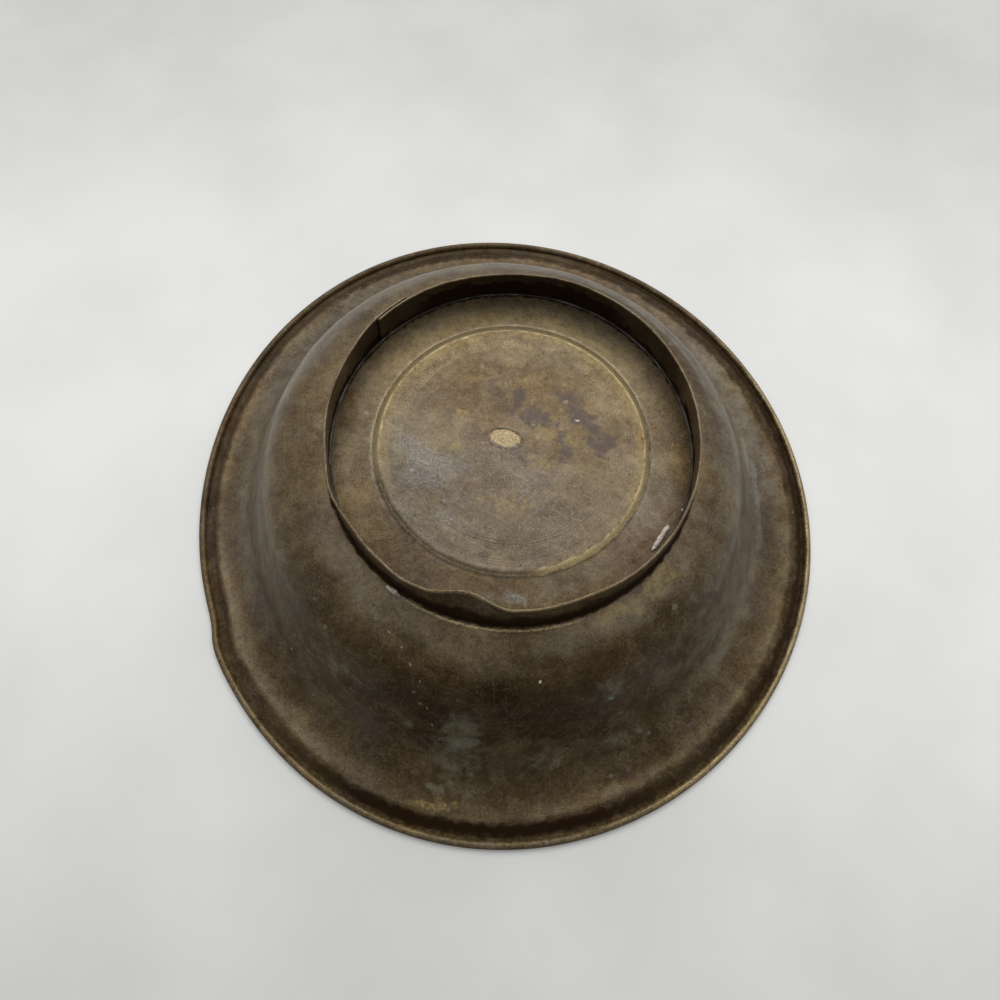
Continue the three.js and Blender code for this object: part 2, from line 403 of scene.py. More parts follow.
# Columns: x, y, length, width, turn, strength, softness, ragged, grain
BOWL_SPOTS: MarkRows = {
    Tarnish.BARE: (
        (-3.1, 1.8, 15.6, 9.6, -8, 0.42, 0.3, 0.12, 3),
    ),
    Tarnish.VIOLET: (
        (9, 13, 26, 16, -20, 0.85, 0.9, 0.45, 7), (1.5, 21, 8, 18, 0, 0.8, 0.9, 0.5, 6),
        (21.5, -1, 10, 22, 10, 0.75, 0.9, 0.55, 6), (29, 14, 42, 16, -45, 0.72, 0.95, 0.45, 7),
        (37, 3, 22, 18, -20, 0.7, 0.95, 0.5, 7), (4.5, -7, 12, 5, -50, 0.65, 0.9, 0.4, 5),
        (-8, 28, 26, 16, 10, 0.38, 0.95, 0.5, 8), (34, 57, 30, 13, -30, 0.52, 0.9, 0.5, 7),
        (-52, -112, 40, 22, -35, 0.55, 0.95, 0.5, 12), (-86, -62, 26, 44, 30, 0.45, 0.95, 0.5, 12),
    ),
    # Painted shade on the base, round the foot ring and on the wall nearest the camera
    Tarnish.PAINTED_SHADE: (
        (0, -46, 70, 18, 0, 0.35, 0.95, 0.4, 12), (-24, -28, 66, 50, -30, 0.26, 0.95, 0.4, 12),
        (10, 66, 60, 10, -8, 0.35, 0.95, 0.5, 8), (-63.5, -110, 34, 20, -30, 0.6, 0.95, 0.4, 12),
        (0, -88, 30, 12, 0, 0.45, 0.95, 0.4, 10), (-70, -70, 34, 22, 45, 0.5, 0.95, 0.4, 12),
    ),
    # The first two are painted highlights along the shoulder's crest; the others are scuffed grey
    # patches
    Tarnish.SCUFFS_AND_SHEEN: (
        (121.5, 12, 5, 60, 2, 1, 0.8, 0.3, 8), (-107, -32, 6, 52, 8, 0.8, 0.8, 0.3, 8),
        (-36, -14, 40, 60, 10, 0.95, 0.95, 0.3, 20), (-20, -38, 44, 26, -20, 0.8, 0.95, 0.3, 20),
        (6, -18, 46, 26, 0, 0.55, 0.95, 0.3, 20), (3.2, -64.8, 18, 6, 0, 0.7, 0.8, 0.4, 6),
    ),
    Tarnish.CHALK: (
        (70, -24, 1.6, 1.6, 0, 0.8, 0.6, 0.1, 2), (26.5, 12.1, 4.5, 1.6, -10, 0.7, 0.8, 0.5, 2),
        (8.5, 8.8, 4.5, 2.4, -10, 0.45, 0.8, 0.5, 2),
        (27.7, -105.7, 3, 1.8, 10, 0.42, 0.9, 0.5, 2),
        (29.8, -104.2, 1.8, 1.6, 10, 0.45, 0.9, 0.5, 2),
        (13.7, -92.3, 1.6, 1.6, 0, 0.7, 0.6, 0.1, 2), (16.6, -94.7, 1.9, 1.9, 0, 0.8, 0.6, 0.1, 2),
        (-64, 59, 5, 2.4, 45, 0.6, 0.8, 0.5, 2),
    ),
    Tarnish.OCHRE: (
        (13, -8, 17, 10, 15, 0.58, 0.8, 0.5, 5), (15, 5, 13, 10, 0, 0.55, 0.8, 0.5, 5),
        (-22, 12, 11, 7, -30, 0.75, 0.6, 0.3, 4), (-24, -4, 6.5, 5.5, 0, 0.75, 0.7, 0.4, 4),
        (0, -27, 32, 16, -5, 0.55, 0.9, 0.5, 5), (-2, 30, 56, 18, 0, 0.5, 0.95, 0.5, 6),
        (25, 2, 3, 2.4, 0, 1, 0.6, 0.4, 2), (68, 0.3, 9, 30, 0, 0.75, 0.9, 0.5, 5),
        (60, -56, 40, 13, 48, 1, 0.9, 0.5, 6), (44, -67, 32, 9, 30, 0.95, 0.9, 0.5, 6),
        (36, 56, 20, 10, -35, 0.35, 0.95, 0.6, 6), (-28.7, -104.2, 3.4, 3, 0, 0.7, 0.7, 0.4, 2),
        (78.1, -116.1, 16, 8, 50, 0.35, 0.9, 0.5, 5), (90.1, -104.1, 30, 8, 45, 0.35, 0.9, 0.5, 5),
        (-19, -140.8, 28, 7, 0, 0.9, 0.9, 0.5, 5), (-49.1, -59.7, 5, 3, -40, 0.8, 0.8, 0.5, 2),
    ),
    # A pale deposit on the wall; the spots at (122, 14) and (-108, -20) are painted highlights
    # along the shoulder's crest
    Tarnish.HAZE_AND_HIGHLIGHT: (
        (3.2, -64.8, 26, 9, 0, 1, 0.8, 0.4, 6), (-12.9, -124, 26, 26, 80, 0.9, 0.8, 0.35, 8),
        (36, -118, 56, 22, 8, 1, 0.9, 0.4, 10), (60, -106, 44, 26, 35, 1, 0.9, 0.4, 10),
        (96, -70, 22, 50, -35, 1, 0.9, 0.4, 10), (88, -92, 34, 14, 45, 1, 0.9, 0.4, 6),
        (-14, -133, 50, 16, 0, 1, 0.9, 0.4, 6), (-60, -98, 60, 26, -38, 0.7, 0.9, 0.4, 8),
        (122, 14, 8, 50, 0, 1, 0.9, 0.4, 10), (-108, -20, 8, 70, 0, 0.9, 0.9, 0.4, 10),
        (-82, -84, 34, 14, -40, 0.8, 0.9, 0.4, 8), (46.2, -94.5, 20, 14, 0, 1, 0.8, 0.4, 6),
    ),
    Tarnish.OLIVE: (
        (-12, -114, 17, 17.5, 80, 1, 0.4, 0.22, 6), (-14, -127, 24, 24, 0, 0.75, 0.95, 0.6, 5),
        (-33.3, -111.2, 4, 3.6, 0, 0.8, 0.7, 0.5, 2),
    ),
    # Painted shade on the wall nearest the camera
    Tarnish.GRIME_AND_SHADE: (
        (-52.5, -91, 24, 14, -30, 0.42, 0.95, 0.4, 10), (0, -107, 28, 9, 0, 0.45, 0.95, 0.4, 8),
    ),
    Tarnish.VERDIGRIS: (
        (-13.5, -118, 9, 7, 20, 0.46, 0.9, 0.5, 5), (46.2, -96.5, 4.6, 2.6, 0, 0.7, 0.8, 0.5, 3),
    ),
    # Painted highlights: streaks along the shoulder's crest and a light patch on the near wall
    Tarnish.PAINTED_HIGHLIGHT: (
        (45.2, -94.5, 16, 12, 0, 0.16, 0.95, 0.5, 5), (117.4, 31, 40, 4.4, 93, 0.85, 0.8, 0.2, 8),
        (114.8, -8, 48, 5, 80, 0.7, 0.8, 0.25, 8), (122, 4, 44, 3.4, 90, 0.34, 0.8, 0.3, 8),
        (93, -76, 22, 5, 50, 0.24, 0.95, 0.5, 5),
    ),
}
# Painted shade: the dark marks inside the ring's far half and outside its near half, and the
# darkening of both faces all round; the low band at the ring's foot darkens the joint, and the edge
# marks are wear
RING_MARKS: tuple[RingMark, ...] = (
    RingMark(Tarnish.GRIME_AND_SHADE, RingFace.INSIDE, 20.0, 140.0, 2.0, 0.62),
    RingMark(Tarnish.GRIME_AND_SHADE, RingFace.INSIDE, 50.0, 80.0, 0.75, 1.0, 0.4),
    RingMark(Tarnish.GRIME_AND_SHADE, RingFace.INSIDE, 0.0, 360.0, 0.25, 0.95, 0.3),
    RingMark(Tarnish.PAINTED_SHADE, RingFace.INSIDE, 0.0, 360.0, 2.0, 0.35),
    RingMark(Tarnish.GRIME_AND_SHADE, RingFace.OUTSIDE, 205.0, 130.0, 0.55, 0.95, 0.5, 30.0),
    RingMark(Tarnish.PAINTED_SHADE, RingFace.OUTSIDE, 0.0, 360.0, 2.0, 0.8),
    RingMark(Tarnish.GRIME_AND_SHADE, RingFace.OUTSIDE, 0.0, 360.0, 0.15, 0.95, 0.2),
    RingMark(Tarnish.BARE, RingFace.EDGE, 190.0, 160.0, 2.0, 0.20),
    RingMark(Tarnish.WEAR_AND_HIGHLIGHT, RingFace.EDGE, 0.0, 360.0, 2.0, 0.7),
)


def bowl_marks(points: np.ndarray, radius: np.ndarray) -> Iterable[tuple[Tarnish, np.ndarray]]:
    """Works out the bowl's marks one after another.

    Args:
        points: its corners in millimetres.
        radius: their distance from the axis before bending.

    Yields:
        What each mark is made of and its strength at each corner.
    """
    for tarnish, rows in BOWL_BANDS.items():
        for row in rows:
            yield tarnish, Band(*row).share(points, radius)
    for tarnish, rows in BOWL_SPOTS.items():
        for row in rows:
            yield tarnish, Spot(*row).share(points)


def keep_marks(piece: Object, marks: Iterable[tuple[Tarnish, np.ndarray]]) -> None:
    """Keeps the strongest mark of each kind on the mesh, for the finish to read.

    Args:
        piece: the piece.
        marks: what each mark is made of and its strength at each corner.
    """
    totals = {tarnish: np.zeros(len(piece.data.vertices)) for tarnish in Tarnish}
    for tarnish, share in marks:
        totals[tarnish] = np.maximum(totals[tarnish], share)
    for tarnish, values in totals.items():
        layer = piece.data.attributes.new(tarnish.value, "FLOAT", "POINT")
        layer.data.foreach_set("value", np.clip(values, 0.0, 1.0).astype(np.float32))


# Meshes


def add_object(name: str, data: ID) -> Object:
    """Makes an object around its data and links it to the scene."""
    thing = bpy.data.objects.new(name, data)
    bpy.context.scene.collection.objects.link(thing)
    return thing


def add_piece(
    name: str, points: np.ndarray, faces: Sequence[Sequence[int]], shown: Iterable[str]
) -> Object:
    """Makes a piece of the basin from its points and faces.

    Args:
        name: name of the piece.
        points: corners in millimetres, one row each.
        faces: corner numbers of each face.
        shown: names of the CAD nodes that the piece stands for.

    Returns:
        The new piece, which rides on the basin's one body.
    """
    mesh = bpy.data.meshes.new(name)
    mesh.from_pydata((points * METRES).tolist(), [], faces)
    mesh.validate()
    mesh.shade_smooth()
    piece = add_object(name, mesh)
    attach(piece, BODY)
    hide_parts(*shown)
    return piece


def ring_faces(rows: int, columns: int, rows_close: bool = False) -> list[list[int]]:
    """Faces of a grid whose columns run once round.

    Args:
        rows: number of rows of corners.
        columns: corners in each row.
        rows_close: whether the last row joins the first.

    Returns:
        Corner numbers of each four-sided face.
    """
    row = np.arange(rows if rows_close else rows - 1)
    here, along = np.meshgrid(row, np.arange(columns), indexing="ij")
    above, beside = (here + 1) % rows, (along + 1) % columns
    pairs = ((here, along), (here, beside), (above, beside), (above, along))
    return np.stack([(a * columns + b).ravel() for a, b in pairs], axis=1).tolist()


def fan(first: int, columns: int, tip: int, down: bool = False) -> list[tuple[int, int, int]]:
    """Faces that close a row of corners with one more corner, the tip."""
    pairs = [(first + k, first + (k + 1) % columns) for k in range(columns)]
    return [(b, a, tip) if down else (a, b, tip) for a, b in pairs]


def spokes(count: int) -> np.ndarray:
    """Level unit directions, evenly spaced round the axis."""
    angle = np.arange(count) * 2.0 * math.pi / count
    return np.stack([np.cos(angle), np.sin(angle), np.zeros(count)], axis=1)


def turned(section: np.ndarray, count: int) -> np.ndarray:
    """Places of each point of a section, one after another, as it turns round the axis."""
    return (section[:, None, :1] * spokes(count) + section[:, None, 1:] * UP).reshape(-1, 3)


def rounded_corner(
    before: np.ndarray, corner: np.ndarray, after: np.ndarray, radius: float, steps: int
) -> np.ndarray:
    """Points of the arc that rounds a corner of a section.

    Args:
        before: point that the line comes from.
        corner: the corner itself.
        after: point that the line goes to.
        radius: radius of the arc.
        steps: number of straight steps in the arc.

    Returns:
        The points of the arc, one row each.
    """
    back = before - corner
    ahead = after - corner
    back_unit = back / np.linalg.norm(back)
    ahead_unit = ahead / np.linalg.norm(ahead)
    half = math.acos(float(np.clip(back_unit @ ahead_unit, -1.0, 1.0))) / 2.0
    room = min(np.linalg.norm(back), np.linalg.norm(ahead) * CORNER_REACH)
    cut = min(radius / math.tan(half), room)
    middle = back_unit + ahead_unit
    centre = corner + middle / np.linalg.norm(middle) * (cut * math.tan(half)) / math.sin(half)
    start = corner + back_unit * cut - centre
    end = corner + ahead_unit * cut - centre
    turn = math.atan2(start[0] * end[1] - start[1] * end[0], float(start @ end))
    angles = np.linspace(0.0, turn, steps + 1)
    x = start[0] * np.cos(angles) - start[1] * np.sin(angles)
    z = start[0] * np.sin(angles) + start[1] * np.cos(angles)
    return np.stack([x, z], axis=1) + centre


def arc(centre: Sequence[float], radius: float, start: float, end: float, steps: int) -> np.ndarray:
    """Points of an arc in a section, between two angles in degrees."""
    angles = np.radians(np.linspace(start, end, steps + 1))
    return np.array(centre) + radius * np.stack([np.cos(angles), np.sin(angles)], axis=1)


@dataclass(frozen=True)
class OutOfTrue:
    """How handling has pushed the round of the basin out of its circle."""

    foot_radius: float = 76.0
    rim_radius: float = 152.5
    shoulder_corner: float = 96.8
    wall_foot: float = 125.1
    roll_centre: float = 150.8
    oval_size: float = 4.0
    oval_angle: float = 101.0
    lobe_size: float = 1.07
    lobe_angle: float = 4.0
    kink_angle: float = 211.0
    kink_depth: float = 2.0
    kink_sharpness: float = 3.0
    kink_reach: float = 14.0
    lean: float = 2.7

    def rim_deviation(self, angle: np.ndarray) -> np.ndarray:
        """How far the rim stands outside its true circle.

        Args:
            angle: angles in degrees.

        Returns:
            The distance in millimetres at each angle.
        """
        oval = self.oval_size * cos_degrees(2.0 * (angle - self.oval_angle))
        lobe = angle - self.lobe_angle
        three = self.lobe_size * (cos_degrees(3.0 * lobe) - cos_degrees(lobe))
        kink = angle_from(angle, self.kink_angle)
        step = np.tanh(kink / self.kink_sharpness) * np.exp(-np.abs(kink) / self.kink_reach)
        return oval + three + self.kink_depth * step

    def bent(self, points: np.ndarray) -> np.ndarray:
        """Moves true places to where they are on the bent basin.

        Args:
            points: places, one row each.

        Returns:
            The moved places.
        """
        radius = np.hypot(points[:, 0], points[:, 1])
        share = smooth(self.foot_radius, self.rim_radius, radius)
        factor = 1.0 + self.rim_deviation(heading(points)) / self.rim_radius * share
        lean = self.lean * smooth(self.foot_radius, self.shoulder_corner, radius)
        lean *= 1.0 - smooth(self.wall_foot, self.roll_centre, radius)
        moved = points * np.stack([factor, factor, np.ones(len(points))], axis=1)
        moved[:, 0] -= lean
        return moved


@dataclass(frozen=True)
class Groove:
    """A line cut round the raised disc."""

    radius: float
    depth: float
    width: float = 0.34


@dataclass(frozen=True)
class Dent:
    """A knock in the sheet, seen from outside."""

    angle: float
    radius: float
    reach: float
    depth: float


@dataclass
class BowlBody:
    """The bowl with its flange and rolled rim, raised from one sheet."""

    sheet: float = 0.8
    rim_radius: float = 152.5
    depth: float = 62.0
    flange_width: float = 27.4
    flange_rise: float = 2.2
    ridge_inset: float = 10.2
    ridge_rise: float = 3.5
    ridge_radius: float = 5.0
    shoulder_width: float = 20.3
    shoulder_radius: float = 32.4
    flare_radius: float = 25.0
    seat_end: float = 76.5
    disc_radius: float = 56.4
    disc_rise: float = 1.2
    disc_edge_width: float = 2.6
    disc_edge_radius: float = 3.0
    roll_inner: float = 0.9
    roll_start: float = -84.0
    roll_end: float = 193.0
    roll_return: float = -75.0
    worn_flat: float = 0.9
    stamp: Oval = Oval(-3.1, 1.8, 15.0, 9.0, -8.0)
    stamp_depth: float = 0.16
    stamp_lip: float = 0.10
    stamp_line: float = 0.06
    inner_gap: float = 1.2
    inner_every: int = 3
    sectors: int = 560
    grooves: tuple[Groove, ...] = (
        Groove(43.2, 0.05),
        Groove(44.6, 0.07),
        Groove(45.4, 0.04),
        Groove(50.9, 0.05),
        Groove(51.9, 0.03),
    )
    dents: tuple[Dent, ...] = (
        Dent(97.0, 107.0, 7.0, -0.35),
        Dent(318.0, 92.0, 12.0, 0.3),
        Dent(214.0, 117.0, 16.0, 0.45),
        Dent(282.0, 112.0, 14.0, 0.3),
        Dent(20.0, 104.0, 13.0, 0.3),
        Dent(158.0, 100.0, 11.0, 0.25),
        Dent(242.0, 90.0, 8.0, 0.25),
    )
    # Distances from the axis and the spacing of rings of corners up to each
    spacing: tuple[tuple[float, float], ...] = (
        (12.0, 0.25), (42.0, 0.7), (53.0, 0.12), (60.0, 0.25), (72.0, 0.7), (80.0, 0.4),
        (math.inf, 0.75),
    )
    shape: OutOfTrue = OutOfTrue()

    @property
    def roll_outer(self) -> float:
        """Radius of the rolled edge."""
        return self.roll_inner + self.sheet

    @property
    def roll_centre(self) -> float:
        """Distance of the middle of the rolled edge from the axis."""
        return self.rim_radius - self.roll_outer

    def upper_line(self) -> np.ndarray:
        """The outside of the sheet in section, from the centre of the base to the rolled edge.

        Returns:
            Points with the distance from the axis and the height, one row each.
        """
        top = self.depth + self.disc_rise
        half_edge = self.disc_edge_width / 2.0
        corners = [
            (0.0, top),
            (self.disc_radius - half_edge, top),
            (self.disc_radius + half_edge, self.depth),
            (self.seat_end, self.depth),
            (self.seat_end + self.shoulder_width, self.depth),
            (self.rim_radius - self.flange_width, self.sheet + self.flange_rise),
            (self.rim_radius - self.ridge_inset, self.sheet + self.ridge_rise),
            (self.roll_centre, self.sheet),
        ]
        centre, edge, hollow, seat, shoulder, flare, ridge, roll = np.array(corners)
        runs = [
            rounded_corner(centre, edge, hollow, self.disc_edge_radius, 8),
            rounded_corner(edge, hollow, seat, self.disc_edge_radius, 8),
            rounded_corner(seat, shoulder, flare, self.shoulder_radius, 48),
            rounded_corner(shoulder, flare, ridge, self.flare_radius, 24),
            rounded_corner(flare, ridge, roll, self.ridge_radius, 10),
        ]
        return np.concatenate([centre[None], *runs, roll[None]])

    def stations(self) -> np.ndarray:
        """The upper line cut into rings of corners.

        Returns:
            Distance from the axis and height of each ring, without the centre.
        """
        line = self.upper_line()
        length = np.concatenate([[0.0], np.cumsum(np.linalg.norm(np.diff(line, axis=0), axis=1))])
        where = [0.0]
        while where[-1] < length[-1]:
            radius = float(np.interp(where[-1], length, line[:, 0]))
            where.append(where[-1] + next(step for limit, step in self.spacing if radius < limit))
        where = np.array(where[1:-1] + [length[-1]])
        return np.stack([np.interp(where, length, line[:, k]) for k in (0, 1)], axis=1)

    def raised(self, points: np.ndarray, radius: np.ndarray) -> np.ndarray:
        """How far the worked sheet stands outside its true shape.

        Args:
            points: true places, one row each.
            radius: their distance from the axis.

        Returns:
            The distance outwards at each place.
        """
        from_edge = smooth(self.roll_centre + 0.4, self.roll_centre - 5.0, radius)
        inside_disc = 1.0 - smooth(self.disc_radius - 2.0, self.disc_radius, radius)
        on_wall = smooth(self.seat_end, self.seat_end + 8.0, radius) * from_edge
        total = np.zeros(len(points))
        # Broad and fine hammering, a slack disc, and the grain of the sheet
        for height, seed, wavelength, where in (
            (0.16, 3, 46.0, on_wall),
            (0.05, 4, 11.0, on_wall),
            (0.10, 5, 38.0, inside_disc),
            (0.015, 6, 5.0, from_edge),
        ):
            total += height * Unevenness(seed, wavelength, 2).at(points) * where
        for dent in self.dents:
            across = (radius - dent.radius) / dent.reach
            turn = angle_from(heading(points), dent.angle)
            sideways = turn * np.radians(1.0) * dent.radius / dent.reach
            total -= dent.depth * np.exp(-2.0 * (across**2 + sideways**2))
        return total

    def cut(self, points: np.ndarray, radius: np.ndarray) -> np.ndarray:
        """Depth of the cut lines and of the blank stamp in the outside of the base.

        Args:
            points: true places, one row each.
            radius: their distance from the axis.

        Returns:
            The depth at each place, less than nothing where metal was pushed up.
        """
        worn = 0.75 + 0.35 * Unevenness(8, 30.0, 2).at(points)
        total = np.zeros(len(points))
        for groove in self.grooves:
            total += groove.depth * worn * np.exp(-(((radius - groove.radius) / groove.width) ** 2))
        oval = self.stamp.distance(points)
        floor = self.stamp_depth * (1.0 - smooth(0.84, 1.0, oval))
        lip = self.stamp_lip * np.exp(-(((oval - 1.04) / 0.07) ** 2))
        line = self.stamp_line * np.exp(-(((oval - 0.74) / 0.05) ** 2))
        return total + floor - lip - line

    def build(self) -> Object:
        """Makes the mesh of the bowl, with its marks.

        Returns:
            The piece.
        """
        upper = self.stations()
        along = np.gradient(upper, axis=0)
        along /= np.linalg.norm(along, axis=1)[:, None]
        normal = np.stack([-along[:, 1], along[:, 0]], axis=1)
        coarse = np.arange(0, len(upper) - 1, self.inner_every)
        coarse = coarse[upper[coarse, 0] < self.roll_centre - self.inner_gap][::-1]
        middle = (self.roll_centre, self.roll_outer)
        half_flat = self.worn_flat / 2.0
        rolled = [
            arc(middle, self.roll_inner, self.roll_start, self.roll_end, 22),
            arc(middle, self.roll_outer, self.roll_end, self.roll_return, 34),
            [[self.roll_centre + half_flat, 0.0], [self.roll_centre - half_flat, 0.0]],
        ]
        roll = np.concatenate(rolled)
        section = np.concatenate([upper, roll, (upper - normal * self.sheet)[coarse]])
        out = np.concatenate([normal, np.zeros_like(roll), normal[coarse]])
        face = np.repeat([0.0, 0.5, 1.0], [len(upper), len(roll), len(coarse)])
        poles = [[0.0, 0.0, upper[0, 1]], [0.0, 0.0, upper[0, 1] - self.sheet]]
        points = np.concatenate([turned(section, self.sectors), poles])
        outward = np.concatenate([turned(out, self.sectors), [UP, UP]])
        radius = np.append(np.repeat(section[:, 0], self.sectors), [0.0, 0.0])
        side = np.append(np.repeat(face, self.sectors), [0.0, 1.0])
        move = self.raised(points, radius)
        move -= np.where(side == 0.0, self.cut(points, radius), 0.0)
        points = self.shape.bent(points + outward * move[:, None])
        faces = [corners[::-1] for corners in ring_faces(len(section), self.sectors)]
        faces += fan(0, self.sectors, len(points) - 2)
        faces += fan((len(section) - 1) * self.sectors, self.sectors, len(points) - 1, down=True)
        piece = add_piece("bowl_of_brass", points, faces, ["bowl_body"])
        outside = side < OUTSIDE_LIMIT
        keep_marks(piece, ((kind, share * outside) for kind, share in bowl_marks(points, radius)))
        return piece


@dataclass(frozen=True)
class Push:
    """A stretch of the foot ring's free edge pushed in, or out where its depth is negative."""

    angle: float
    reach: float
    depth: float


@dataclass
class FootRing:
    """The foot ring, a strip bent round the base and lapped where its ends meet."""

    radius: float = 76.0
    height: float = 16.4
    sheet: float = 1.0
    taper: float = 1.5
    lap_angle: float = 12.0
    lap_ramp: float = 18.0
    lap_offset: float = 1.3
    seam_angle: float = 131.0
    seat: float = 62.3
    edge_radius: float = 0.38
    swell: float = 0.16
    ripple: float = 0.03
    bruise: float = 0.10
    wear: float = 0.20
    steps: int = 744
    levels: int = 26
    pushes: tuple[Push, ...] = (
        Push(260.0, 14.0, 4.7),
        Push(293.0, 18.0, 0.8),
        Push(240.0, 9.0, -0.8),
        Push(207.0, 14.0, -1.2),
        Push(97.0, 28.0, 1.2),
    )

    def pushed(self, angle: np.ndarray) -> np.ndarray:
        """How far the free edge is pushed in.

        Args:
            angle: angles in degrees.

        Returns:
            The distance in millimetres at each angle.
        """
        total = np.zeros_like(angle)
        for push in self.pushes:
            share = np.clip(np.abs(angle_from(angle, push.angle)) / push.reach, 0.0, 1.0)
            total += push.depth * (1.0 + np.cos(math.pi * share)) / 2.0
        return total

    def section(self) -> np.ndarray:
        """The strip's section as a loop.

        Returns:
            Distance from the middle of the sheet and height of each point.
        """
        half = self.sheet / 2.0
        top = self.height - self.edge_radius
        rise = np.linspace(0.0, top, self.levels)
        outside = np.stack([np.full(self.levels, half), rise], axis=1)
        outer_turn = arc((half - self.edge_radius, top), self.edge_radius, 0.0, 90.0, 5)[1:]
        inner_turn = arc((self.edge_radius - half, top), self.edge_radius, 90.0, 180.0, 5)
        inside = np.stack([np.full(self.levels, -half), rise[::-1]], axis=1)[1:]
        return np.concatenate([outside, outer_turn, inner_turn, inside])

    def build(self) -> Object:
        """Makes the mesh of the foot ring, with its marks.

        Returns:
            The piece.
        """
        loop = self.section()
        whole = 360.0 + self.lap_angle
        travelled = np.linspace(0.0, whole, self.steps + 1)
        angle = np.radians(self.seam_angle + self.lap_angle - travelled)
        lifted = 1.0 - smooth(self.lap_angle, self.lap_angle + self.lap_ramp, whole - travelled)
        middle = self.radius - self.sheet / 2.0 + self.lap_offset * lifted
        flat = middle[:, None] + loop[None, :, 0]
        x = flat * np.cos(angle)[:, None]
        y = flat * np.sin(angle)[:, None]
        z = np.broadcast_to(loop[None, :, 1], x.shape)
        points = np.stack([x, y, z], axis=2).reshape(-1, 3)
        share = points[:, 2] / self.height
        inwards = self.taper * share + self.pushed(heading(points)) * share**2
        inwards += self.swell * Unevenness(21, 34.0, 2).at(points) * share
        inwards += self.ripple * Unevenness(22, 6.0, 2).at(points)
        inwards += self.bruise * np.abs(Unevenness(23, 7.0, 2).at(points)) * share**12
        points[:, :2] *= (1.0 - inwards / np.hypot(points[:, 0], points[:, 1]))[:, None]
        worn = self.wear * np.abs(Unevenness(24, 16.0, 3).at(points * [1.0, 1.0, 0.0]))
        points[:, 2] -= worn * share**6
        points[:, 2] += self.seat
        side = np.tile(np.sign(loop[:, 0]), self.steps + 1)
        count = len(loop)
        faces = ring_faces(self.steps + 1, count)
        faces.append(range(count)[::-1])
        faces.append(range(self.steps * count, (self.steps + 1) * count))
        piece = add_piece("foot_of_brass", points, faces, ["foot_ring"])
        keep_marks(piece, ((mark.tarnish, mark.amount(points, share, side)) for mark in RING_MARKS))
        return piece


@dataclass(frozen=True)
class Lump:
    """A lump of solder beside the foot ring."""

    name: str
    node: str
    angle: float
    radius: float
    length: float
    width: float
    seed: int


@dataclass
class Solder:
    """The solder that holds the foot ring: a thin seam inside it and two lumps."""

    bore: float = 74.9
    seat: float = 62.3
    width: float = 0.65
    least_width: float = 0.25
    hollow: float = 1.6
    lump_height: float = 1.4
    steps: int = 720
    lump_rings: int = 14
    lump_sectors: int = 48
    lumps: tuple[Lump, ...] = (
        Lump("solder_drop_inside", "solder_lump_inside", 329.0, 71.3, 13.0, 2.4, 31),
        Lump("solder_drop_outside", "solder_lump_outside", 238.0, 77.7, 7.0, 1.9, 37),
    )

    def ragged_width(self, seed: int, wavelength: float) -> np.ndarray:
        """Width of the seam round the ring, which differs from place to place."""
        uneven = Unevenness(seed, wavelength, 3).at(spokes(self.steps) * self.bore)
        return np.maximum(self.width * (0.75 + 0.45 * uneven), self.least_width)

    def seam(self) -> Object:
        """Makes the ragged seam in the corner between the base and the foot ring.

        Returns:
            The new piece.
        """
        spoke = spokes(self.steps)
        wide = self.ragged_width(41, 30.0)
        high = self.ragged_width(42, 22.0)
        rows = []
        for share in np.linspace(0.0, 1.0, 7):
            out = self.bore - wide * (1.0 - share) ** self.hollow
            rise = self.seat + high * share**self.hollow
            rows.append(spoke * out[:, None] + UP * rise[:, None])
        rows.append(spoke * self.bore + UP * self.seat)
        points = np.concatenate(rows)
        points[:, 2] += 0.05 * Unevenness(43, 3.0, 2).at(points) * (points[:, 2] > self.seat + 0.01)
        faces = ring_faces(len(rows), self.steps, rows_close=True)
        piece = add_piece("solder_seam", points, faces, ["foot_solder_seam"])
        return piece

    def lump(self, lump: Lump) -> Object:
        """Makes one lump.

        Args:
            lump: the lump's place and sizes.

        Returns:
            The new piece.
        """
        rings, sectors = self.lump_rings, self.lump_sectors
        turn = np.linspace(0.0, math.pi / 2.0, rings + 1)[:-1]
        dome = turned(np.stack([np.cos(turn), np.sin(turn) ** 0.8], axis=1), sectors)
        unit = np.concatenate([dome, [UP, ORIGIN]])
        points = unit * [lump.width / 2.0, lump.length / 2.0, self.lump_height]
        bulge = 1.0 + 0.22 * Unevenness(lump.seed, 3.2, 3).at(points)
        points *= bulge[:, None] * [1.0, 1.0, 0.92]
        points[:, 2] = np.maximum(points[:, 2], 0.0)
        points[:, 0] += lump.radius
        way = np.array(Matrix.Rotation(math.radians(lump.angle), 3, "Z"))
        points = points @ way.T + UP * self.seat
        faces = ring_faces(rings, sectors)
        faces += fan((rings - 1) * sectors, sectors, len(points) - 2)
        faces += fan(0, sectors, len(points) - 1, down=True)
        piece = add_piece(lump.name, points, faces, [lump.node])
        return piece


# Finishes


